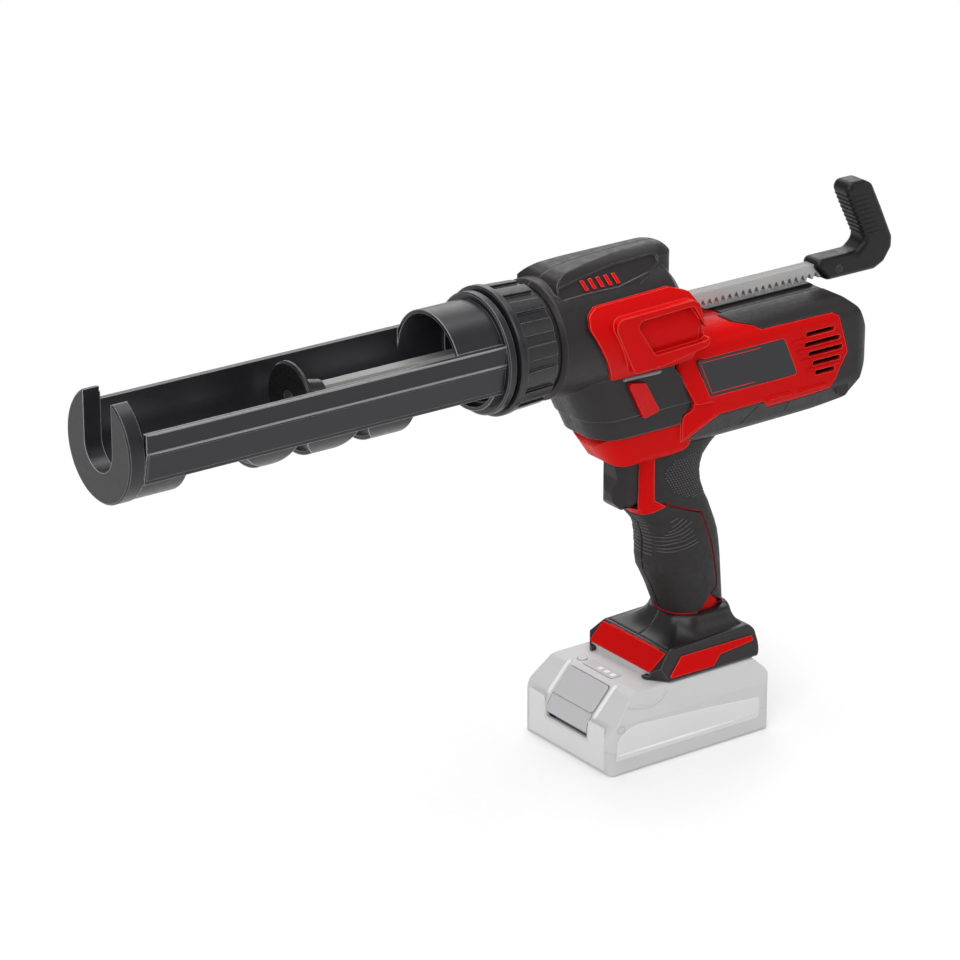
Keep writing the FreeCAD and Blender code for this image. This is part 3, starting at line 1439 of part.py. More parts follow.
# Battery pack
def pack_solid(inset):
    points = place(pack_shares, pack_front_x, 0.0, pack_length, pack_top_z)
    half = pack_half_width - inset
    shoulder = pack_shoulder_half_width - inset
    side = side_prism(points, half, inset, pack_edge)
    right = [(half, 0), (half, pack_shoulder_z), (shoulder, pack_top_z)]
    section = right + [(-y, z) for y, z in reversed(right)]
    plan = rectangle(pack_front_x, pack_back_x, -half, half)
    solid = side.common(prism_yz(section, -reach, reach, pack_edge))
    return solid.common(prism_xy(plan, -reach, reach, pack_corner))


def tongue():
    x0, x1 = tongue_front_x, tongue_back_x
    top = pack_top_z + tongue_height
    neck = box(x0, x1, -tongue_half_width, tongue_half_width, pack_top_z - overrun, top)
    flange = box(x0, x1, -tongue_flange_half_width, tongue_flange_half_width, top - tongue_flange_height, top)
    block = neck.fuse(flange)
    for i in range(blade_count):
        y = (i - (blade_count - 1) / 2) * blade_pitch
        half = blade_thickness / 2 + fit_gap
        slot_x = x1 - blade_length - overrun
        block = block.cut(box(slot_x, x1 + overrun, y - half, y + half, pack_top_z, reach))
    return block


def latch_points():
    """Ends of the latch button along the sloping front, as (x, z)."""
    points = place(pack_shares, pack_front_x, 0.0, pack_length, pack_top_z)
    return points[2], points[3]


def latch_slab(half, sink, lift, inset):
    (x0, z0), (x1, z1) = latch_points()
    length = math.hypot(x1 - x0, z1 - z0)
    along, out = V(x1 - x0, 0, z1 - z0).normalize(), V(-(z1 - z0), 0, x1 - x0).normalize()
    start = V(x0, 0, z0) + out * (-sink)
    corners = rectangle(inset, length - inset, -half + inset, half - inset)
    face = outline(corners, lambda p: start + along * p[0] + V(0, p[1], 0), latch_corner)
    return face.extrude(out * (sink + lift))


def latch_flap(half, low_z, lift, thickness):
    """Lower end of the latch, on the pack's front face."""
    points = place(pack_shares, pack_front_x, 0, pack_length, pack_top_z)[1:3]
    (x0, z0), (x1, z1) = points
    outer = [(x0 - lift, low_z), (x0 - lift, z0), (x1 - lift, z1)]
    inner = [(x1 + thickness, z1), (x0 + thickness, low_z)]
    return prism_xz(outer + inner, -half, half)


def battery():
    whole = pack_solid(0)
    hollow = pack_solid(pack_wall)
    shell = whole.cut(hollow)
    low = box(-reach, reach, -reach, reach, -reach, pack_split_z)
    base = shell.common(low)
    cover = shell.common(box(-reach, reach, -reach, reach, pack_split_z + seat_gap, reach)).fuse(tongue())
    way = latch_thickness + latch_travel + overrun
    cover = cover.cut(latch_slab(latch_half_width + fit_gap, way, reach / 8, 0))
    cover = cover.cut(latch_flap(latch_half_width + fit_gap, latch_flap_z - latch_travel, overrun, way))
    gauge = box(gauge_x, gauge_x + gauge_length, -gauge_half_width, gauge_half_width,
                pack_top_z - gauge_thickness, pack_top_z + overrun)
    key_half = charge_button_half_width
    key_x = gauge_x + gauge_length / 2
    key_low = pack_top_z - reach / 16
    key_hole = cyl_z(key_half + fit_gap, key_low, pack_top_z + overrun, key_x, charge_button_y)
    save("battery_base", base)
    save("battery_cover", cover.cut(gauge).cut(key_hole))
    lens = box(gauge_x + seat_gap, gauge_x + gauge_length - seat_gap, -gauge_half_width + seat_gap,
               gauge_half_width - seat_gap, pack_top_z - gauge_thickness + seat_gap, pack_top_z + gauge_proud)
    save("charge_gauge", lens)
    key_top = pack_top_z + charge_button_travel / 2
    save("charge_button", cyl_z(key_half, pack_top_z - charge_button_height, key_top, key_x, charge_button_y))
    latch = latch_slab(latch_half_width, latch_thickness, latch_proud, fit_gap)
    flap = latch_flap(latch_half_width - fit_gap, latch_flap_z, 0, latch_flap_thickness)
    save("latch_button", latch.fuse(flap))
    cells = []
    for i in range(cell_count):
        x = (i - (cell_count - 1) / 2) * cell_pitch
        cells.append(cyl_y(cell_r, -cell_length / 2, cell_length / 2, x, pack_wall + cell_r + seat_gap))
    save("battery_cells", Part.makeCompound(cells))
    board_z = pack_wall + 2 * cell_r + 2 * seat_gap
    save("battery_board", box(-board_length / 2, board_length / 2, -board_half_width, board_half_width,
                              board_z, board_z + board_thickness))


def main():
    holder_tray()
    front_plate()
    holder_collar()
    union_nut()
    holder_spigot()
    rack_bar()
    pusher()
    rack_handle()
    pinion_set()
    cross_set()
    bevel_pinion()
    gear_plates()
    gearbox()
    motor()
    cooling_fan()
    rack_guides()
    casing_screws()
    pod = pod_solid(0)
    nose_shells(pod)
    hood_bars()
    gear_covers()
    body_shells(pod)
    rear_bumpers(pod)
    label_plates()
    grip_pads(pod)
    trigger()
    release_button()
    foot()
    terminals()
    control_board()
    battery()


main()
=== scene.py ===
import math

import bmesh
import bpy
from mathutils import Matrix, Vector
from mathutils.bvhtree import BVHTree


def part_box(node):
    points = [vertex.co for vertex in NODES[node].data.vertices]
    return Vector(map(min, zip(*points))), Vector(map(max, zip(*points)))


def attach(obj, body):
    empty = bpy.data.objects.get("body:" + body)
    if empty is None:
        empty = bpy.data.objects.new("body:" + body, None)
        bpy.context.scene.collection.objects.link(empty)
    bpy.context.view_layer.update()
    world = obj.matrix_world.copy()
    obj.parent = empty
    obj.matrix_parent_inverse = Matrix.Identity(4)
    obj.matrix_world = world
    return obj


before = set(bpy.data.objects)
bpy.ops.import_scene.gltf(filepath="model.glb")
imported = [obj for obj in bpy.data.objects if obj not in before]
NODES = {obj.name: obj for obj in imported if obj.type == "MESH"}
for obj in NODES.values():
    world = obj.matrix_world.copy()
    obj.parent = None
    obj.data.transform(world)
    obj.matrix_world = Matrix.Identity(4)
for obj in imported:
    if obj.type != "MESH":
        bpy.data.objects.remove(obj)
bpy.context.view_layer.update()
MM = 0.001
SIDES = (("left", -1), ("right", 1))


# Materials. Each is a tree of procedural nodes in the object's own metres.
BROAD_PER_METRE, MIDDLE_PER_METRE = 38.0, 330.0
NOISE_DETAIL, GRAIN_DETAIL, NOISE_ROUGH = 3.0, 2.0, 0.55
BEVEL_SAMPLES = 8
# Ranges for rounded edges lightened partly by wear and partly by a painted highlight.
EDGE_WEAR_AND_HIGHLIGHT_TURN = (0.985, 0.84)
EDGE_WEAR_AND_HIGHLIGHT_PATCH = (0.35, 0.62)
GLOSS_PATCH = (0.3, 0.7)
# Range of upward facing over which top faces take the painted shade.
TOP_SLOPE = (0.4, 0.8)
GRAIN_SHARE, GRAIN_SHADE, GRAIN_DEPTH = 0.25, 0.72, 0.4


def new_tree(name):
    made = bpy.data.materials.new(name)
    made.use_nodes = True
    made.node_tree.nodes.clear()
    return made, made.node_tree


def put(tree, kind, inputs=None, **settings):
    """A new node with its settings; an input is linked to a socket or set to a value."""
    made = tree.nodes.new("ShaderNode" + kind)
    for key, value in settings.items():
        setattr(made, key, value)
    for key, value in (inputs or {}).items():
        if isinstance(value, bpy.types.NodeSocket):
            tree.links.new(value, made.inputs[key])
        else:
            made.inputs[key].default_value = value
    return made


def noise(tree, place, per_metre, detail=NOISE_DETAIL):
    values = {"Vector": place, "Scale": per_metre, "Detail": detail, "Roughness": NOISE_ROUGH}
    return put(tree, "TexNoise", values).outputs["Fac"]


def spread(tree, value, source, target):
    """The value carried over from one range to another."""
    values = {"Value": value, "From Min": source[0], "From Max": source[1],
              "To Min": target[0], "To Max": target[1]}
    return put(tree, "MapRange", values).outputs["Result"]


def mixed(tree, share, first, second):
    """Two colours mixed; in a colour mix they are sockets 6 and 7, and the result is output 2."""
    return put(tree, "Mix", {0: share, 6: first, 7: second}, data_type="RGBA").outputs[2]


def math_of(tree, operation, first, second):
    return put(tree, "Math", {0: first, 1: second}, operation=operation).outputs[0]


def shade(colour, factor):
    return tuple(min(1.0, c * factor) for c in colour) + (1.0,)


def surface(name, colour, rough, vary=0.08, grain=0.25, grain_mm=0.35, edge_wear_and_highlight=None, edge_wear_and_highlight_share=0.5,
            patchy=0.35, round_mm=0.5, metal=0.0, specular=0.5, brushed=None, blotch=0.12,
            painted_top_shade=None):
    """A moulded or metal surface: broad colour change, grain, uneven gloss, rounded edges
    lightened partly by wear and partly by a painted highlight.

    brushed stretches the grain, and the top factor darkens the faces that look up, a painted
    shade.
    """
    made, tree = new_tree(name)
    place = put(tree, "TexCoord").outputs["Object"]
    fine_place = place
    if brushed:
        fine_place = put(tree, "Mapping", {"Vector": place, "Scale": brushed}).outputs["Vector"]
    broad = noise(tree, place, BROAD_PER_METRE)
    middle = noise(tree, fine_place, MIDDLE_PER_METRE)
    fine = noise(tree, fine_place, 1.0 / (grain_mm * MM), GRAIN_DETAIL)
    rounded = put(tree, "Bevel", {"Radius": round_mm * MM},
                  samples=BEVEL_SAMPLES).outputs["Normal"]
    flat = put(tree, "NewGeometry").outputs["Normal"]
    turn = put(tree, "VectorMath", {0: rounded, 1: flat},
               operation="DOT_PRODUCT").outputs["Value"]
    # Rounded edges turn to a lighter colour in patches: partly wear, partly a painted highlight
    # where light would catch the edge.
    edge = math_of(tree, "MULTIPLY", spread(tree, turn, EDGE_WEAR_AND_HIGHLIGHT_TURN, (0.0, edge_wear_and_highlight_share)),
                   spread(tree, middle, EDGE_WEAR_AND_HIGHLIGHT_PATCH, (patchy, 1.0)))
    body = mixed(tree, broad, shade(colour, 1.0 - blotch), shade(colour, 1.0 + blotch))
    specks = math_of(tree, "MULTIPLY", fine, GRAIN_SHARE)
    body = mixed(tree, specks, body, shade(colour, GRAIN_SHADE))
    # Faces that look up are darkened: painted shade.
    if painted_top_shade:
        up = put(tree, "SeparateXYZ", {0: flat}).outputs["Z"]
        painted_top_shade_share = spread(tree, up, TOP_SLOPE, (0.0, 1.0))
        body = mixed(tree, painted_top_shade_share, body, shade(colour, painted_top_shade))
    # The lighter edge colour goes on last: wear together with a painted highlight.
    body = mixed(tree, edge, body, shade(edge_wear_and_highlight or colour, 1.0))
    gloss = spread(tree, middle, GLOSS_PATCH, (rough - vary, rough + vary))
    bump = put(tree, "Bump", {"Strength": grain, "Distance": grain_mm * MM * GRAIN_DEPTH,
                              "Height": fine, "Normal": rounded}).outputs["Normal"]
    shader = put(tree, "BsdfPrincipled", {"Base Color": body, "Roughness": gloss, "Normal": bump,
                                          "Metallic": metal, "Specular IOR Level": specular})
    put(tree, "OutputMaterial", {"Surface": shader.outputs["BSDF"]})
    return made


RED = surface("red_moulded", (0.58, 0.0022, 0.0024), 0.36, grain=0.12, grain_mm=0.4, blotch=0.05,
              edge_wear_and_highlight=(0.90, 0.15, 0.12), edge_wear_and_highlight_share=0.65, patchy=0.6, round_mm=1.0, specular=0.06)
DARK = surface("dark_moulded", (0.0150, 0.0126, 0.0140), 0.44, grain=0.28, grain_mm=0.45,
               edge_wear_and_highlight=(0.17, 0.165, 0.17), edge_wear_and_highlight_share=0.5, round_mm=0.9, specular=0.32)
NOSE = surface("nose_moulded", (0.0150, 0.0126, 0.0142), 0.44, grain=0.28, grain_mm=0.45,
               edge_wear_and_highlight=(0.20, 0.19, 0.20), edge_wear_and_highlight_share=0.55, patchy=0.5, round_mm=1.3, specular=0.32)
FOOT = surface("foot_moulded", (0.0138, 0.0116, 0.0122), 0.35, grain=0.2, grain_mm=0.45, vary=0.02,
               edge_wear_and_highlight=(0.20, 0.195, 0.20), edge_wear_and_highlight_share=0.5, patchy=0.6, round_mm=1.4, specular=0.45)
NUT = surface("nut_moulded", (0.0140, 0.0130, 0.0150), 0.33, grain=0.12, grain_mm=0.5,
              edge_wear_and_highlight=(0.24, 0.235, 0.24), edge_wear_and_highlight_share=0.7, round_mm=0.7, specular=0.42)
HANDLE = surface("handle_moulded", (0.0080, 0.0075, 0.0085), 0.40, grain=0.14, grain_mm=0.5,
                 edge_wear_and_highlight=(0.12, 0.115, 0.12), edge_wear_and_highlight_share=0.4, round_mm=0.9, specular=0.28)
HOLDER = surface("holder_moulded", (0.0135, 0.0130, 0.0165), 0.34, grain=0.07, grain_mm=0.6,
                 vary=0.05, edge_wear_and_highlight=(0.52, 0.52, 0.54), edge_wear_and_highlight_share=0.85, patchy=0.75, round_mm=0.9,
                 specular=0.40)
RUBBER = surface("soft_overmould", (0.0165, 0.0145, 0.0150), 0.60, grain=0.5, grain_mm=0.55,
                 edge_wear_and_highlight=(0.08, 0.078, 0.078), edge_wear_and_highlight_share=0.4, round_mm=0.9, specular=0.35)
# A lighter copy of the soft overmould for ribs and studs: painted highlight on their crests.
RIDGE_PAINTED_HIGHLIGHT = surface("soft_ridges_painted_highlight", (0.064, 0.060, 0.061), 0.42, grain=0.15, grain_mm=0.4,
                edge_wear_and_highlight=(0.10, 0.098, 0.098), edge_wear_and_highlight_share=0.4, round_mm=0.2, specular=0.45)
# Pale grey for lines on dark parts: a painted highlight along the nose crease and along the
# holder's rib crest and rim.
PAINTED_HIGHLIGHT_GREY = surface("crease_painted_highlight", (0.25, 0.245, 0.25), 0.42, grain=0.15, grain_mm=0.4,
                 edge_wear_and_highlight=(0.34, 0.335, 0.34), edge_wear_and_highlight_share=0.4, round_mm=0.3, specular=0.4)
SEAM = surface("seam_shadow", (0.006, 0.006, 0.006), 0.7, grain=0.1, edge_wear_and_highlight=(0.01, 0.01, 0.01),
               round_mm=0.1, specular=0.1)
BUTTON = surface("button_red", (0.57, 0.0035, 0.0035), 0.32, grain=0.03, grain_mm=0.6, blotch=0.05,
                 edge_wear_and_highlight=(0.84, 0.12, 0.09), edge_wear_and_highlight_share=0.5, round_mm=0.5, specular=0.16)
# A darker copy of the red shell for red lines sunk in grooves: painted shade.
SHADED_RED = surface("red_painted_shade", (0.34, 0.004, 0.006), 0.42, grain=0.1, grain_mm=0.4, blotch=0.06,
                 edge_wear_and_highlight=(0.55, 0.03, 0.03), edge_wear_and_highlight_share=0.3, round_mm=0.2, specular=0.12)
PALE = surface("pale_moulded", (0.62, 0.615, 0.62), 0.5, grain=0.2, grain_mm=0.45, blotch=0.03,
               edge_wear_and_highlight=(0.86, 0.86, 0.86), edge_wear_and_highlight_share=0.6, round_mm=1.0)
GREY = surface("grey_moulded", (0.54, 0.535, 0.545), 0.46, grain=0.2, grain_mm=0.4, blotch=0.05,
               edge_wear_and_highlight=(0.74, 0.74, 0.74), edge_wear_and_highlight_share=0.5, round_mm=0.6)
# A lighter pale for the side panels, and on the front face a plate of it that paints light there.
PANEL_AND_PAINTED_LIGHT = surface("panel_moulded_and_painted_light", (0.74, 0.735, 0.74), 0.46, grain=0.15, grain_mm=0.4, blotch=0.03,
                edge_wear_and_highlight=(0.88, 0.88, 0.88), edge_wear_and_highlight_share=0.6, round_mm=0.5)
BRIGHT = surface("bright_moulded", (0.88, 0.88, 0.885), 0.45, grain=0.12, grain_mm=0.4,
                 blotch=0.03, edge_wear_and_highlight=(0.88, 0.88, 0.88), edge_wear_and_highlight_share=0.5, round_mm=0.4)
LAMP = surface("lamp_window", (0.86, 0.86, 0.86), 0.3, grain=0.08, grain_mm=0.3, blotch=0.02,
               edge_wear_and_highlight=(0.92, 0.92, 0.92), edge_wear_and_highlight_share=0.4, round_mm=0.2)
PLATE = surface("plate_dark", (0.018, 0.018, 0.023), 0.30, grain=0.03, grain_mm=0.6, blotch=0.08,
                vary=0.02, edge_wear_and_highlight=(0.10, 0.10, 0.11), edge_wear_and_highlight_share=0.3, round_mm=0.2, specular=0.35)
# The drawn steel's upward faces are darkened by painted shade.
RACK = surface("drawn_steel", (0.52, 0.515, 0.51), 0.50, grain=0.3, grain_mm=0.3, metal=0.25,
               specular=0.3, edge_wear_and_highlight=(0.85, 0.85, 0.85), edge_wear_and_highlight_share=0.7, round_mm=0.25,
               brushed=(0.05, 1.0, 1.0), painted_top_shade=0.46)
BLACK_STEEL = surface("black_steel", (0.014, 0.014, 0.015), 0.30, grain=0.15, grain_mm=0.25,
                      metal=0.3, edge_wear_and_highlight=(0.30, 0.30, 0.30), edge_wear_and_highlight_share=0.6, round_mm=0.5)
GEAR = surface("ground_steel", (0.52, 0.52, 0.53), 0.3, grain=0.25, grain_mm=0.25, metal=1.0,
               edge_wear_and_highlight=(0.8, 0.8, 0.8), edge_wear_and_highlight_share=0.6, round_mm=0.15, brushed=(1.0, 0.08, 1.0))
SCREW = surface("screw_steel", (0.16, 0.16, 0.165), 0.36, grain=0.2, grain_mm=0.2, metal=0.9,
                edge_wear_and_highlight=(0.55, 0.55, 0.55), edge_wear_and_highlight_share=0.7, round_mm=0.2)
BRASS = surface("bush_bronze", (0.55, 0.36, 0.13), 0.36, grain=0.3, grain_mm=0.2, metal=1.0,
                edge_wear_and_highlight=(0.8, 0.6, 0.3), edge_wear_and_highlight_share=0.5, round_mm=0.15)
MOTOR = surface("plated_steel", (0.42, 0.42, 0.44), 0.32, grain=0.2, grain_mm=0.25, metal=0.95,
                edge_wear_and_highlight=(0.75, 0.75, 0.75), edge_wear_and_highlight_share=0.5, round_mm=0.3, brushed=(0.08, 1.0, 1.0))
BOARD = surface("circuit_board", (0.02, 0.16, 0.05), 0.4, grain=0.2, grain_mm=0.6,
                edge_wear_and_highlight=(0.4, 0.42, 0.2), edge_wear_and_highlight_share=0.5, round_mm=0.15)
WRAP = surface("cell_wrap", (0.05, 0.20, 0.38), 0.42, grain=0.15, grain_mm=0.5,
               edge_wear_and_highlight=(0.2, 0.4, 0.6), edge_wear_and_highlight_share=0.4, round_mm=0.3)
CONTACT = surface("contact_metal", (0.72, 0.54, 0.28), 0.28, grain=0.15, grain_mm=0.2, metal=1.0,
                  edge_wear_and_highlight=(0.9, 0.75, 0.5), edge_wear_and_highlight_share=0.5, round_mm=0.1)

WEARS = {
    RED: ("body_shell_left body_shell_right gear_cover_left gear_cover_right gear_plate_left "
          "gear_plate_right hood_bars foot_stripe_left foot_stripe_right foot_front_panel"),
    NOSE: "nose_shell_left nose_shell_right",
    DARK: ("rear_bumper_left rear_bumper_right trigger rack_guide_front rack_guide_rear "
           "holder_spigot gearbox motor_end_cap trigger_switch terminal_block cooling_fan"),
    FOOT: "foot_shell_left foot_shell_right",
    NUT: "union_nut",
    HANDLE: "rack_handle",
    HOLDER: "holder_tray front_plate holder_collar",
    RUBBER: "grip_finger_pad_left grip_finger_pad_right grip_palm_pad_left grip_palm_pad_right",
    BUTTON: "release_button",
    PALE: "battery_base battery_cover charge_button",
    GREY: "latch_button charge_gauge",
    PLATE: "label_plate_left label_plate_right",
    RACK: "rack_bar",
    BLACK_STEEL: "pusher_disc pusher_hub handle_pin",
    GEAR: "pinion_shaft reduction_gear cross_shaft bevel_gear bevel_pinion",
    SCREW: "casing_screws pusher_screw",
    BRASS: "shaft_bushes",
    MOTOR: "motor_can motor_rotor",
    BOARD: "control_board battery_board",
    WRAP: "battery_cells",
    CONTACT: "terminal_blades",
}
for made, names in WEARS.items():
    for name in names.split():
        NODES[name].data.materials.clear()
        NODES[name].data.materials.append(made)


# Small forms laid on the CAD surfaces. Lengths below are in millimetres. Lines on the sides are
# (x, z) points, and the size of a ridge is its width and its height.
FAR_SIDE, FAR_FRONT, FAR_BACK = 120.0, -90.0, 120.0
PATH_STEP = 1.5
RIB_SHAPE = ((-0.5, -1.0), (-0.46, 0.15), (-0.3, 0.72), (0.0, 1.0), (0.3, 0.72), (0.46, 0.15),
             (0.5, -1.0))
FLAT_SHAPE = ((-0.5, -1.0), (-0.5, 0.7), (-0.42, 1.0), (0.42, 1.0), (0.5, 0.7), (0.5, -1.0))
RIDGE_SINK, RIDGE_END = 0.25, 0.45
STUD_SIDES, STUD_SINK = 7, 0.2
SHARPEST_CORNER = 0.3
PLATE_RIM_SHARE = 0.8


def tree_of(*names):
    """The joined surface of these nodes, to lay details on."""
    spots, faces = [], []
    for name in names:
        mesh = NODES[name].data
        start = len(spots)
        spots += [v.co.copy() for v in mesh.vertices]
        faces += [tuple(start + i for i in p.vertices) for p in mesh.polygons]
    return BVHTree.FromPolygons(spots, faces)


def cast(tree, start, toward):
    """First point of the surface along a ray, with its outward normal, or None."""
    spot, normal, _, _ = tree.ray_cast(Vector(start) * MM, Vector(toward).normalized())
    if spot is None:
        return None
    if normal.dot(Vector(toward)) > 0:
        normal = -normal
    return spot, normal


def from_side(tree, x, z, side):
    """The surface as seen from the left (-1) or the right (1) at one point."""
    return cast(tree, (x, side * FAR_SIDE, z), (0, -side, 0))


def from_front(tree, y, z):
    return cast(tree, (FAR_FRONT, y, z), (1, 0, 0))


def side_path(tree, points, side, step):
    """Points on the left (-1) or right (1) face under a line."""
    path = []
    for (x0, z0), (x1, z1) in zip(points, points[1:]):
        count = max(1, round(math.hypot(x1 - x0, z1 - z0) / step))
        for i in range(count):
            share = i / count
            path.append((x0 + (x1 - x0) * share, z0 + (z1 - z0) * share))
    path.append(points[-1])
    found = [from_side(tree, x, z, side) for x, z in path]
    return [f for f in found if f]


def curve_through(points, count=14):
    """Points on a smooth line through three or more points."""
    knots = [points[0]] + list(points) + [points[-1]]
    out = []
    spans = len(points) - 1
    for i in range(count + 1):
        t = i / count * spans
        k = min(int(t), spans - 1)
        t -= k
        out.append(tuple(0.5 * (2 * q + (r - p) * t + (2 * p - 5 * q + 4 * r - s) * t * t
                                + (3 * q - p - 3 * r + s) * t ** 3)
                         for p, q, r, s in zip(*knots[k:k + 4])))
    return out


def skin(bm, rings, closed=False):
    """Faces from each ring of points to the next, and back to the first one where closed."""
    pairs = list(zip(rings, rings[1:])) + ([(rings[-1], rings[0])] if closed else [])
    size = len(rings[0])
    for a, b in pairs:
        for k in range(size):
            bm.faces.new((a[k], a[(k + 1) % size], b[(k + 1) % size], b[k]))


def cap(bm, rings):
    bm.faces.new(rings[0])
    bm.faces.new(rings[-1])


def ridge(bm, path, width, height, sink=RIDGE_SINK, shape=RIB_SHAPE, closed=False):
    """A raised line along surface points; it thins out at open ends."""
    rings = []
    count = len(path)
    for i, (spot, normal) in enumerate(path):
        back = path[i - 1] if closed or i else path[i]
        fore = path[(i + 1) % count] if closed or i < count - 1 else path[i]
        along = (fore[0] - back[0]).normalized()
        across = along.cross(normal).normalized()
        thin = 1.0 if closed or 0 < i < count - 1 else RIDGE_END
        ring = []
        for a, b in shape:
            rise = b * height * thin if b > 0 else -sink
            place = spot + across * (a * width * thin * MM) + normal * (rise * MM)
            ring.append(bm.verts.new(place))
        rings.append(ring)
    skin(bm, rings, closed)
    if not closed:
        cap(bm, rings)


def dome(bm, spot, normal, radius, height):
    """A small rounded stud on a surface point."""
    side = normal.orthogonal().normalized()
    other = normal.cross(side)
    rings = []
    for share, rise in ((1.0, -STUD_SINK), (1.0, 0.1 * height), (0.72, 0.72 * height)):
        ring = []
        for i in range(STUD_SIDES):
            turn = 2 * math.pi * i / STUD_SIDES
            around = side * math.cos(turn) + other * math.sin(turn)
            ring.append(bm.verts.new(spot + around * (radius * share * MM) + normal * (rise * MM)))
        rings.append(ring)
    skin(bm, rings)
    bm.faces.new(rings[0])
    tip = bm.verts.new(spot + normal * (height * MM))
    for i in range(STUD_SIDES):
        bm.faces.new((rings[-1][i], rings[-1][(i + 1) % STUD_SIDES], tip))


def inset_outline(points, depth):
    """The outline drawn in by a depth; points run anticlockwise."""
    out = []
    count = len(points)
    for i in range(count):
        a, b, c = Vector(points[i - 1]), Vector(points[i]), Vector(points[(i + 1) % count])
        d0, d1 = (b - a).normalized(), (c - b).normalized()
        n0, n1 = Vector((-d0.y, d0.x)), Vector((-d1.y, d1.x))
        half = (n0 + n1).normalized()
        out.append(tuple(b + half * (depth / max(SHARPEST_CORNER, half.dot(n0)))))
    return out


def plate(bm, points, spot, sink, height, edge):
    """A raised flat plate with a sloping rim; spot turns (u, v, rise) into a place."""
    levels = ((points, -sink), (points, height - edge * PLATE_RIM_SHARE),
              (inset_outline(points, edge), height))
    rings = [[bm.verts.new(spot(u, v, rise)) for u, v in line] for line, rise in levels]
    skin(bm, rings)
    cap(bm, rings)


def link(made):
    bpy.context.scene.collection.objects.link(made)


def piece(name, bm, made, body, smooth=True):
    """The finished mesh as a named piece that rides on a body."""
    bmesh.ops.recalc_face_normals(bm, faces=bm.faces)
    mesh = bpy.data.meshes.new(name)
    bm.to_mesh(mesh)
    bm.free()
    for face in mesh.polygons:
        face.use_smooth = smooth
    mesh.materials.append(made)
    made_piece = bpy.data.objects.new(name, mesh)
    link(made_piece)
    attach(made_piece, body)


def lines_piece(name, tree, lines, side, size, made, body, shape=RIB_SHAPE,
                step=PATH_STEP):
    """Raised lines on one side face, as one piece."""
    bm = bmesh.new()
    for points in lines:
        path = side_path(tree, points, side, step)
        if len(path) > 1:
            ridge(bm, path, *size, shape=shape)
    piece(name, bm, made, body)


# Body: frame line on the bare label plates, ribs by the vents, bars along the lower edge and
# bumper seams.
LABEL_LINE = [(50.0, 209.4), (10.4, 209.4), (18.3, 191.6), (46.0, 191.6)]
LABEL_LINE_SIZE = (0.5, 0.06)
VENT_LINES = [[(70.5, 207.3), (102.5, 207.1)], [(73.0, 201.8), (105.0, 201.5)],
              [(76.5, 196.2), (105.0, 196.0)], [(80.0, 190.7), (102.5, 190.4)]]
VENT_RIB_SIZE = (2.1, 1.3)
LOWER_BARS = [[(54.0, 180.6), (71.0, 180.3)], [(75.5, 180.4), (93.9, 180.2)]]
LOWER_BAR_SIZE = (2.4, 1.4)
BUMPER_SEAMS = [[(49.6, 178.0), (41.1, 167.6)], [(70.9, 175.0), (69.8, 168.9)]]
BUMPER_SEAM_SIZE = (0.6, 0.04)
for hand, side in SIDES:
    lines_piece(f"label_line_{hand}", tree_of(f"label_plate_{hand}"), [LABEL_LINE], side,
                LABEL_LINE_SIZE, RED, "casing", FLAT_SHAPE)
    shell = tree_of(f"body_shell_{hand}")
    lines_piece(f"vent_ribs_{hand}", shell, VENT_LINES, side, VENT_RIB_SIZE, RED,
                "casing")
    lines_piece(f"lower_bars_{hand}", shell, LOWER_BARS, side, LOWER_BAR_SIZE, RED,
                "casing")
    lines_piece(f"bumper_seams_{hand}", tree_of(f"rear_bumper_{hand}"), BUMPER_SEAMS, side,
                BUMPER_SEAM_SIZE, SEAM, "casing", FLAT_SHAPE)


# Handle: finger ribs, palm studs and ribs on the front in a lighter rubber that paints highlights
# on them, and the red line between the pads in a darker red that paints shade in the groove.
FINGER_RIBS = [
    [(-5.6, 105.1), (1.1, 104.5), (7.9, 105.3), (13.9, 106.6), (18.2, 107.7)],
    [(-7.1, 106.9), (-1.0, 106.2), (6.8, 107.0), (11.8, 108.0), (17.1, 109.5)],
    [(-9.6, 108.7), (-3.2, 108.0), (3.5, 109.3), (9.9, 110.3), (16.3, 112.1)],
    [(-9.3, 110.7), (-2.9, 110.5), (3.8, 111.3), (9.5, 112.4), (15.2, 114.9)],
    [(-6.5, 112.8), (-1.2, 112.7), (3.8, 113.3), (8.8, 114.5), (13.0, 116.5)],
    [(-0.9, 114.1), (3.4, 115.0), (8.0, 116.8), (14.0, 119.8)],
    [(0.5, 115.9), (4.1, 117.3), (7.6, 119.2), (11.1, 121.5)],
    [(1.9, 118.6), (4.4, 119.8), (6.5, 121.4), (8.7, 122.8)],
    [(0.6, 121.5), (2.9, 122.6), (5.3, 123.5)],
]
FINGER_RIB_SIZE = (0.8, 0.45)
PALM_FIELD = [(-4.0, 150.0), (2.0, 155.5), (20.5, 158.0), (22.5, 146.0), (29.0, 131.0),
              (13.0, 133.0), (1.0, 139.0)]
STUD_START = (-6.0, 130.0)
STUD_COUNT, STUD_PITCH, STUD_ROW_SHARE = 40, 1.75, 0.8
STUD_RADIUS, STUD_HEIGHT, STUD_FACING = 0.55, 0.42, 0.15
FRONT_RIB_COUNT, FRONT_RIB_LOW_Z, FRONT_RIB_PITCH = 13, 102.0, 2.1
FRONT_RIB_POINTS, FRONT_RIB_Y, FRONT_RIB_STEP = 9, 0.9, 0.8
FRONT_RIB_SIZE, FRONT_RIB_FACING = (1.0, 0.4), -0.35
ACCENT_LINE = [(-3.5, 133.0), (20.5, 123.0), (27.6, 104.1), (32.4, 82.8), (32.1, 78.6),
               (28.4, 75.3)]
ACCENT_LINE_SIZE = (0.95, 1.75)


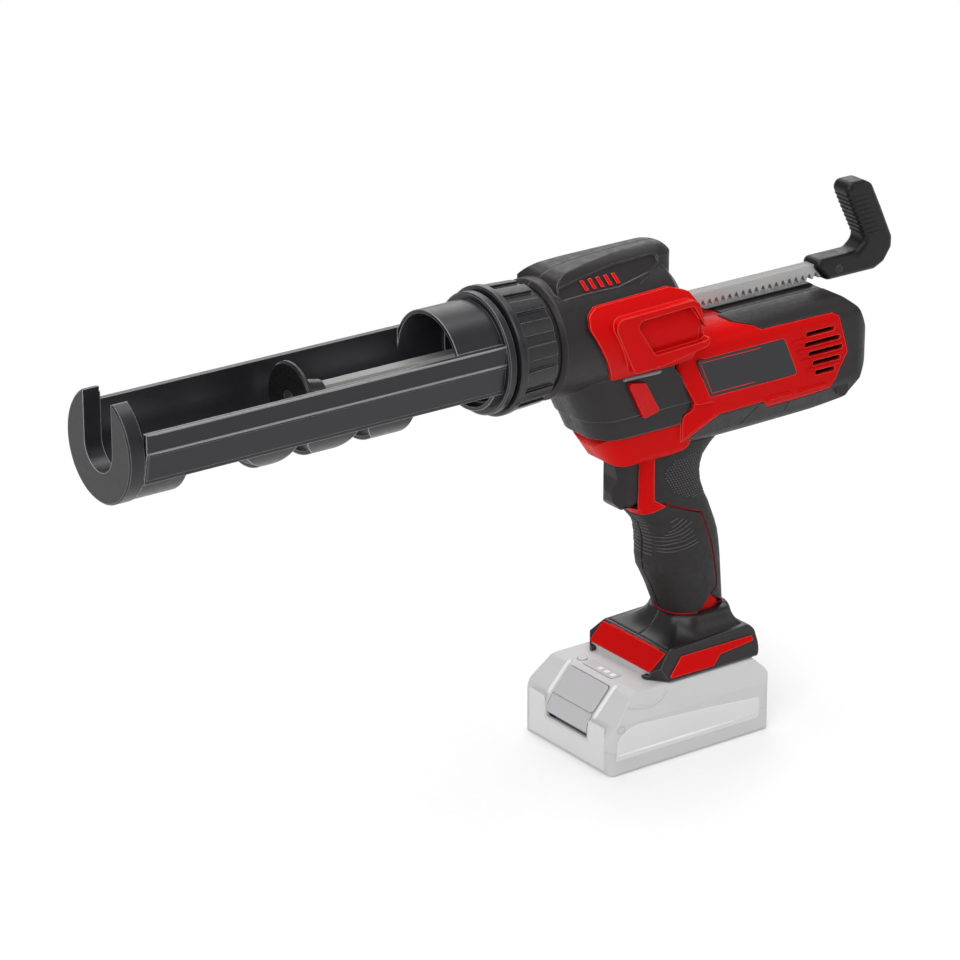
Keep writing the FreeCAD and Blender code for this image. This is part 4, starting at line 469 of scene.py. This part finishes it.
def inside(point, outline):
    """Whether a point lies in a closed outline."""
    x, z = point
    hit = False
    for (x0, z0), (x1, z1) in zip(outline, outline[1:] + outline[:1]):
        if (z0 > z) != (z1 > z) and x < (x1 - x0) * (z - z0) / (z1 - z0) + x0:
            hit = not hit
    return hit


def palm_studs(hand, side):
    """Studs in staggered rows on the palm pad, within the palm field."""
    tree = tree_of(f"grip_palm_pad_{hand}")
    bm = bmesh.new()
    for row in range(STUD_COUNT):
        z = STUD_START[1] + row * STUD_PITCH * STUD_ROW_SHARE
        for column in range(STUD_COUNT):
            x = STUD_START[0] + (column + 0.5 * (row % 2)) * STUD_PITCH
            if not inside((x, z), PALM_FIELD):
                continue
            found = from_side(tree, x, z, side)
            if found and found[1].y * side > STUD_FACING:
                dome(bm, *found, STUD_RADIUS, STUD_HEIGHT)
    piece(f"palm_studs_{hand}", bm, RIDGE_PAINTED_HIGHLIGHT, "casing")


def front_ribs(hand, side):
    """Level ribs on the front of the finger pad, from the seam round to the side."""
    tree = tree_of(f"grip_finger_pad_{hand}")
    bm = bmesh.new()
    for row in range(FRONT_RIB_COUNT):
        z = FRONT_RIB_LOW_Z + row * FRONT_RIB_PITCH
        path = [from_front(tree, side * (FRONT_RIB_Y + FRONT_RIB_STEP * i), z)
                for i in range(FRONT_RIB_POINTS)]
        path = [f for f in path if f and f[1].x < FRONT_RIB_FACING]
        if len(path) > 2:
            ridge(bm, path, *FRONT_RIB_SIZE)
    piece(f"front_ribs_{hand}", bm, RIDGE_PAINTED_HIGHLIGHT, "casing")


for hand, side in SIDES:
    ribs = [curve_through(line) for line in FINGER_RIBS]
    lines_piece(f"finger_ribs_{hand}", tree_of(f"grip_finger_pad_{hand}"), ribs, side,
                FINGER_RIB_SIZE, RIDGE_PAINTED_HIGHLIGHT, "casing")
    palm_studs(hand, side)
    front_ribs(hand, side)
    lines_piece(f"accent_line_{hand}", tree_of(f"body_shell_{hand}"), [ACCENT_LINE], side,
                ACCENT_LINE_SIZE, SHADED_RED, "casing", FLAT_SHAPE)


# Neck: the flare from the handle to the foot, the red rim above it in a darker red that paints
# shade, and the strips over the seam of the handle's halves.
NECK_X = 25.0
NECK_Z, FLARE_TOP_Z, SHOULDER_Z, NECK_TOP_Z = 64.6, 65.0, 65.8, 66.4
FOOT_TOP_Z = 55.2
BESIDE_SEAM = (0.0, 0.4, -0.4)
EDGE_FROM, EDGE_STEP, EDGE_STEPS, EDGE_ABOVE = 55.0, 0.2, 180, 120.0
NECK_FROM = 80.0
FLARE_KNEE_SHARE, FLARE_KNEE_RISE, FLARE_POINTS = 0.25, 1.8, 8
FLARE_WALL, FLARE_SINK = 0.6, 0.8
FLARE_LEAST, FLARE_GAP, GRIP_LEAST, SHOULDER_SHARE = 0.5, 0.1, 0.3, 0.25
FLARE_STEPS, FLARE_START_ANGLE, FLARE_ANGLE = 72, 0.4, 179.2
RIM_STEPS, RIM_Z, RIM_SIZE, RIM_SINK = 96, NECK_TOP_Z + 0.3, (1.0, 0.35), 0.6
SEAM_LOW_Z, SEAM_BACK_Z, SEAM_FRONT_Z, SEAM_STEP = 68.0, 158.0, 128.0, 2.0
SEAM_Y, SEAM_SIZE, SEAM_SINK = 0.9, (1.0, 0.05), 0.8
HANDLE_TREE = tree_of(*[f"{kind}_{hand}"
                        for kind in ("grip_finger_pad", "grip_palm_pad", "body_shell")
                        for hand, _ in SIDES])


def direction(turn):
    return Vector((math.cos(turn), math.sin(turn), 0))


def neck_middle(z):
    return Vector((NECK_X, 0.0, z))


def foot_edge(tree, out):
    """Where the foot's top begins in a direction: distance from the neck's middle, and height."""
    for step in range(EDGE_STEPS):
        reach = EDGE_FROM - EDGE_STEP * step
        for shift in BESIDE_SEAM:
            start = neck_middle(EDGE_ABOVE) + out * reach + Vector((0, shift, 0))
            found = cast(tree, start, (0, 0, -1))
            if found and found[0].z / MM > FOOT_TOP_Z:
                return reach - EDGE_STEP, found[0].z / MM


def grip_reach(tree, out, z):
    """Distance from the neck's middle to a surface, beside the seam where it meets it."""
    middle = neck_middle(z)
    found = [cast(tree, middle + out * NECK_FROM + Vector((0, shift, 0)), -out)
             for shift in BESIDE_SEAM]
    return max((spot / MM - middle).length for spot, _ in filter(None, found))


def flare_profile(shells, out):
    """Section of the flare in a direction: (reach, z) points from the foot up and back inside."""
    (edge, edge_z), neck = foot_edge(shells, out), grip_reach(shells, out, NECK_Z)
    edge = max(edge, neck + FLARE_LEAST)
    grip = min(grip_reach(HANDLE_TREE, out, NECK_TOP_Z), neck - GRIP_LEAST)
    low, top = (edge, edge_z), (neck + FLARE_GAP, FLARE_TOP_Z)
    knee = (neck + FLARE_KNEE_SHARE * (edge - neck), edge_z + FLARE_KNEE_RISE)
    points = []
    for i in range(FLARE_POINTS):
        t = i / (FLARE_POINTS - 1)
        points.append(tuple((1 - t) ** 2 * a + 2 * t * (1 - t) * b + t * t * c
                            for a, b, c in zip(low, knee, top)))
    wall = grip - FLARE_WALL
    return points + [(neck - SHOULDER_SHARE * (neck - grip), SHOULDER_Z), (grip, NECK_TOP_Z),
                     (wall, NECK_TOP_Z), (wall, edge_z - FLARE_SINK), (edge, edge_z - FLARE_SINK)]


def foot_flare():
    """Smooth flare between the handle and the foot, split in two at the seam."""
    shells = tree_of("foot_shell_left", "foot_shell_right")
    for hand, side in SIDES:
        bm = bmesh.new()
        rings = []
        for i in range(FLARE_STEPS + 1):
            angle = FLARE_START_ANGLE + FLARE_ANGLE * i / FLARE_STEPS
            out = direction(side * math.radians(angle))
            rings.append([bm.verts.new((neck_middle(z) + out * reach) * MM)
                          for reach, z in flare_profile(shells, out)])
        skin(bm, rings)
        cap(bm, rings)
        piece(f"foot_flare_{hand}", bm, FOOT, "casing")


def neck_rim():
    """The red rim round the handle above the flare, in a darker red that paints shade on it."""
    path = []
    for i in range(RIM_STEPS):
        out = direction(2 * math.pi * i / RIM_STEPS)
        reach = grip_reach(HANDLE_TREE, out, RIM_Z)
        path.append(((neck_middle(RIM_Z) + out * reach) * MM, out))
    bm = bmesh.new()
    ridge(bm, path, *RIM_SIZE, sink=RIM_SINK, closed=True)
    piece("neck_rim", bm, SHADED_RED, "casing")


def handle_seams():
    """Thin dark strips over the seam between the handle's halves, at its front and back."""
    bm = bmesh.new()
    for start_x, toward, high_z in ((FAR_BACK, -1, SEAM_BACK_Z), (FAR_FRONT, 1, SEAM_FRONT_Z)):
        path = []
        for i in range(int((high_z - SEAM_LOW_Z) / SEAM_STEP) + 1):
            start = (start_x, SEAM_Y, SEAM_LOW_Z + SEAM_STEP * i)
            found = cast(HANDLE_TREE, start, (toward, 0, 0))
            if found:
                spot, normal = (Vector((v.x, 0.0, v.z)) for v in found)
                path.append((spot, normal.normalized()))
        ridge(bm, path, *SEAM_SIZE, sink=SEAM_SINK, shape=FLAT_SHAPE)
    piece("handle_seams", bm, SEAM, "casing")


foot_flare()
neck_rim()
handle_seams()


# Foot: the wide face of the red front panel.
PANEL_FACE = [(-25.4, 46.3), (25.4, 46.3), (26.4, 54.8), (-26.4, 54.8)]
PANEL_SLOPE_Y, PANEL_SLOPE_Z = 3.0, (48.0, 54.0)


def panel_face():
    """Thin red face on the slope of the foot's front, as wide as the slope."""
    tree = tree_of("foot_front_panel")
    low, high = (from_front(tree, PANEL_SLOPE_Y, z)[0] / MM for z in PANEL_SLOPE_Z)
    lean = (high.x - low.x) / (high.z - low.z)
    out = Vector((-1.0, 0.0, lean)).normalized()

    def on_slope(u, v, rise):
        return (Vector((low.x + lean * (v - low.z), -u, v)) + out * rise) * MM

    bm = bmesh.new()
    plate(bm, PANEL_FACE, on_slope, sink=0.9, height=0.15, edge=0.2)
    piece("panel_face", bm, RED, "casing", False)


panel_face()


# Nose: a pale line on the dark side under the gear cover, a painted highlight along the crease.
CREASE_LINE = [(-36.0, 209.2), (-28.8, 209.1), (-19.5, 208.9), (-11.5, 208.8)]
CREASE_SIZE = (2.2, 0.7)
for hand, side in SIDES:
    lines_piece(f"nose_crease_highlight_{hand}", tree_of(f"nose_shell_{hand}"), [CREASE_LINE], side,
                CREASE_SIZE, PAINTED_HIGHLIGHT_GREY, "casing")


# Holder: the long raised panels on the outside of the rails, and pale lines above them that paint
# highlights on the rib crest and the rim.
RAIL_END_GAP = 0.4
RAIL_SLOPE_X = 60.0
RAIL_PANEL_Z = (221.6, 235.2)
RIB_CREST_Z = 235.9
RAIL_TOP_Y, RAIL_ABOVE = 27.4, 300.0
RAIL_LINE_DROP, RAIL_LINE_SIZE, RAIL_LINE_STEP = 0.5, (1.1, 0.3), 6.0


def rail_panels():
    tree = tree_of("holder_tray")
    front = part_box("front_plate")[1][0] / MM + RAIL_END_GAP
    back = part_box("holder_collar")[0][0] / MM - RAIL_END_GAP
    slope_x = front + RAIL_SLOPE_X
    for hand, side in SIDES:
        low, high = (from_side(tree, slope_x, z, side)[0] / MM for z in RAIL_PANEL_Z)
        low.x = high.x = 0.0
        up = high - low
        length = up.length
        up.normalize()
        out = Vector((0, side * up.z, -side * up.y))

        def on_rail(u, v, rise):
            return (Vector((u, 0, 0)) + low + up * v + out * rise) * MM

        outline = [(front, 0.0), (back, 0.0), (back, length), (front, length)]
        bm = bmesh.new()
        plate(bm, outline, on_rail, sink=0.3, height=0.55, edge=0.45)
        piece(f"rail_panel_{hand}", bm, HOLDER, "holder", False)
        top = cast(tree, (slope_x, side * RAIL_TOP_Y, RAIL_ABOVE), (0, 0, -1))[0].z / MM
        lines = [[(front, z), (back, z)] for z in (RIB_CREST_Z, top - RAIL_LINE_DROP)]
        lines_piece(f"rail_highlight_lines_{hand}", tree, lines, side, RAIL_LINE_SIZE, PAINTED_HIGHLIGHT_GREY,
                    "holder", step=RAIL_LINE_STEP)


rail_panels()


# Battery: side panels with their bright ridge, lips and screw dimples, then a lighter plate on the
# front that paints light on it, the rails and the liner of the latch, and the lamps on top.
PACK_PANEL = [(-50.0, 8.8), (43.0, 8.6), (44.6, 10.4), (44.6, 19.0), (43.0, 20.4), (12.0, 23.3),
              (-18.0, 25.2), (-36.0, 26.4), (-41.0, 25.6), (-46.4, 22.6), (-48.6, 19.5)]
PACK_RIDGE = [(-48.0, 11.9), (42.4, 11.0)]
PACK_RIDGE_LIFT, PACK_RIDGE_SIZE = 0.25, (1.7, 0.5)
PACK_LIP = [(-46.0, 39.0), (-42.0, 36.6), (-37.1, 35.0), (-28.4, 33.6), (-20.9, 34.8),
            (-14.8, 38.6)]
PACK_LIP_POINTS, PACK_LIP_SIZE = 24, (1.5, 0.5)
DIMPLE_PLACE, DIMPLE_RADIUS, DIMPLE_STEPS = (-46.6, 26.0), 2.1, 18
DIMPLE_SIZE = (0.8, 0.35)
# Outline of the lighter plate on the front, painted light.
PACK_FRONT_PAINTED_LIGHT = [(-32.0, 2.4), (32.0, 2.4), (32.0, 26.0), (18.6, 26.0), (18.6, 13.9), (-18.6, 13.9),
              (-18.6, 26.0), (-32.0, 26.0)]
LATCH_RAIL_X = (-50.6, -49.4, -47.0, -44.0, -41.0, -38.5, -36.5, -34.5)
LATCH_RAIL_Y, LATCH_RAIL_ABOVE, LATCH_RAIL_SIZE = 19.6, 90.0, (2.6, 0.8)
LATCH_LINER = [(-16.9, 5.0), (16.9, 5.0), (16.9, 15.6), (-16.9, 15.6)]
LATCH_LINER_X = -46.6
LAMP_FRONT_X, LAMP_BACK_X, LAMP_HALF = -31.6, -28.6, 1.5
LAMP_MIDDLES_Y = (1.2, -4.0, -9.2)


def pack_sides():
    cover = tree_of("battery_cover", "battery_base")
    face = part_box("battery_base")[1][1] / MM
    for hand, side in SIDES:
        bm = bmesh.new()
        plate(bm, PACK_PANEL, lambda u, v, rise: Vector((u, side * (face + rise), v)) * MM,
              sink=0.3, height=0.28, edge=0.35)
        piece(f"pack_panel_{hand}", bm, PANEL_AND_PAINTED_LIGHT, "battery", False)
        bm = bmesh.new()
        path = [(Vector((x, side * (face + PACK_RIDGE_LIFT), z)) * MM, Vector((0, side, 0)))
                for x, z in PACK_RIDGE]
        path.insert(1, ((path[0][0] + path[1][0]) / 2, path[0][1]))
        ridge(bm, path, *PACK_RIDGE_SIZE)
        piece(f"pack_ridge_{hand}", bm, BRIGHT, "battery")
        lines_piece(f"pack_lip_{hand}", cover, [curve_through(PACK_LIP, PACK_LIP_POINTS)], side,
                    PACK_LIP_SIZE, PALE, "battery")
        bm = bmesh.new()
        spot, normal = from_side(cover, *DIMPLE_PLACE, side)
        ring = []
        for i in range(DIMPLE_STEPS):
            turn = 2 * math.pi * i / DIMPLE_STEPS
            around = Vector((math.cos(turn), 0, math.sin(turn)))
            ring.append((spot + around * (DIMPLE_RADIUS * MM), normal))
        ridge(bm, ring, *DIMPLE_SIZE, closed=True)
        piece(f"pack_dimple_{hand}", bm, GREY, "battery")


def pack_front():
    cover = tree_of("battery_cover")
    bm = bmesh.new()
    for _, side in SIDES:
        path = [cast(cover, (x, side * LATCH_RAIL_Y, LATCH_RAIL_ABOVE), (0, 0, -1))
                for x in LATCH_RAIL_X]
        ridge(bm, [f for f in path if f], *LATCH_RAIL_SIZE)
    piece("latch_rails", bm, BRIGHT, "battery")
    bm = bmesh.new()
    plate(bm, LATCH_LINER, lambda u, v, rise: Vector((LATCH_LINER_X - rise, u, v)) * MM,
          sink=0.4, height=0.45, edge=0.2)
    piece("latch_liner", bm, GREY, "battery", False)
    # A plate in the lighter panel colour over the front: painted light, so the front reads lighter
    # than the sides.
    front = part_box("battery_base")[0][0] / MM
    bm = bmesh.new()
    plate(bm, PACK_FRONT_PAINTED_LIGHT, lambda u, v, rise: Vector((front - rise, -u, v)) * MM,
          sink=0.3, height=0.25, edge=0.3)
    piece("pack_front", bm, PANEL_AND_PAINTED_LIGHT, "battery", False)
    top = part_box("charge_gauge")[1][2] / MM
    bm = bmesh.new()
    for y in LAMP_MIDDLES_Y:
        low, high = y - LAMP_HALF, y + LAMP_HALF
        square = [(LAMP_FRONT_X, low), (LAMP_BACK_X, low), (LAMP_BACK_X, high),
                  (LAMP_FRONT_X, high)]
        plate(bm, square, lambda u, v, rise: Vector((u, v, top + rise)) * MM,
              sink=0.2, height=0.18, edge=0.15)
    piece("gauge_lamps", bm, LAMP, "battery", False)


pack_sides()
pack_front()


# Pull handle: finger ribs on its inner face and round both its edges.
PULL_RIB_COUNT, PULL_RIB_LOW_Z, PULL_RIB_PITCH, PULL_RIB_SIZE = 9, 248.5, 2.7, (1.2, 0.5)
PULL_SIDE_X = (3.2, 5.5, 8.5, 11.5)
PULL_FACE_Y = (-4.2, -2.4, 0.0, 2.4, 4.2)
PULL_FRONT, PULL_SIDE, PULL_CORNER = 60.0, 90.0, 30.0


def handle_ribs():
    tree = tree_of("rack_handle")
    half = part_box("rack_handle")[1][1] / MM

    def round_edge(front, z, side):
        """Points from the edge of the inner face back along one side."""
        corner = (front - PULL_CORNER, side * (half + PULL_CORNER), z)
        return [cast(tree, corner, (1, -side, 0))] + [
            cast(tree, (front + x, side * PULL_SIDE, z), (0, -side, 0)) for x in PULL_SIDE_X]

    bm = bmesh.new()
    for row in range(PULL_RIB_COUNT):
        z = PULL_RIB_LOW_Z + row * PULL_RIB_PITCH
        front = cast(tree, (PULL_FRONT, 0.0, z), (1, 0, 0))[0].x / MM
        path = round_edge(front, z, -1)[::-1]
        path += [cast(tree, (PULL_FRONT, y, z), (1, 0, 0)) for y in PULL_FACE_Y]
        path += round_edge(front, z, 1)
        ridge(bm, [f for f in path if f], *PULL_RIB_SIZE)
    piece("handle_ribs", bm, HANDLE, "push_rod")


handle_ribs()


# The stage: a pale floor, a white surround, soft light and the camera, in metres.
CAMERA_PLACE = (-1.2722, -1.6082, 0.9563)
CAMERA_AIM = (-0.1081, 0.0, 0.1655)
CAMERA_LENS, CAMERA_SENSOR, CAMERA_CLIP = 161.21, 36.0, 50.0
FLOOR_HALF = 4.0
FLOOR_FADE, FLOOR_GLOW = (0.14, 0.50), (0.25, 1.0)
FLOOR_GRAIN_PER_METRE = 260.0
FLOOR_PAINT = ((0.90, 0.90, 0.90, 1.0), (0.94, 0.94, 0.94, 1.0))
WHITE = (1.0, 1.0, 1.0, 1.0)
SURROUND_LIGHT = 0.38


def point_at(made, place, aim):
    made.location = place
    made.rotation_euler = (Vector(aim) - Vector(place)).to_track_quat("-Z", "Y").to_euler()


def two_shaders(tree, share, first, second, end):
    """A mix of two shaders, joined to the tree's output."""
    both = put(tree, "MixShader", {0: share, 1: first.outputs[0], 2: second.outputs[0]})
    put(tree, end, {"Surface": both.outputs[0]})


def stage_floor():
    """A pale floor that keeps the shadow near the tool and turns white further out."""
    made, tree = new_tree("floor_paint")
    place = put(tree, "TexCoord").outputs["Object"]
    reach = put(tree, "VectorMath", {0: place}, operation="LENGTH").outputs["Value"]
    far = spread(tree, reach, FLOOR_FADE, FLOOR_GLOW)
    rays = put(tree, "LightPath").outputs
    seen = math_of(tree, "MAXIMUM", rays["Is Camera Ray"], rays["Is Glossy Ray"])
    seen = math_of(tree, "MAXIMUM", seen, rays["Is Transmission Ray"])
    grain = noise(tree, place, FLOOR_GRAIN_PER_METRE)
    matt = put(tree, "BsdfDiffuse", {"Color": mixed(tree, grain, *FLOOR_PAINT)})
    glow = put(tree, "Emission", {"Color": WHITE, "Strength": 1.0})
    two_shaders(tree, math_of(tree, "MULTIPLY", far, seen), matt, glow, "OutputMaterial")
    low, high = -FLOOR_HALF, FLOOR_HALF
    corners = [(low, low, 0), (high, low, 0), (high, high, 0), (low, high, 0)]
    mesh = bpy.data.meshes.new("floor")
    mesh.from_pydata(corners, [], [(0, 1, 2, 3)])
    mesh.materials.append(made)
    floor = bpy.data.objects.new("floor", mesh)
    link(floor)
    return floor


def stage_lamp(name, place, aim, size, power):
    data = bpy.data.lights.new(name, "AREA")
    data.size = size
    data.energy = power
    lamp = bpy.data.objects.new(name, data)
    point_at(lamp, place, aim)
    link(lamp)
    return lamp


def stage_world():
    """Even light on the tool, and a white background where it is seen straight or through."""
    world = bpy.data.worlds.new("surround")
    world.use_nodes = True
    tree = world.node_tree
    tree.nodes.clear()
    rays = put(tree, "LightPath").outputs
    seen = math_of(tree, "MAXIMUM", rays["Is Camera Ray"], rays["Is Transmission Ray"])
    dim = put(tree, "Background", {"Color": WHITE, "Strength": SURROUND_LIGHT})
    white = put(tree, "Background", {"Color": WHITE, "Strength": 1.0})
    two_shaders(tree, seen, dim, white, "OutputWorld")
    bpy.context.scene.world = world


def stage_camera():
    data = bpy.data.cameras.new("camera")
    data.lens = CAMERA_LENS
    data.sensor_width = CAMERA_SENSOR
    data.clip_end = CAMERA_CLIP
    camera = bpy.data.objects.new("camera", data)
    point_at(camera, CAMERA_PLACE, CAMERA_AIM)
    link(camera)
    bpy.context.scene.camera = camera


stage_world()
stage_camera()
stage_floor()
stage_lamp("key", (-1.20, -0.85, 1.30), (-0.1, 0.0, 0.15), 1.1, 14.0)
stage_lamp("top", (0.0, 0.1, 1.55), (-0.1, 0.0, 0.15), 1.2, 15.0)
stage_lamp("back", (0.75, 1.25, 1.0), (-0.1, 0.0, 0.18), 1.2, 8.0)
stage_lamp("fill", (1.25, -0.85, 0.75), (-0.05, 0.0, 0.15), 1.0, 3.0)
bpy.context.scene.view_settings.view_transform = "Standard"
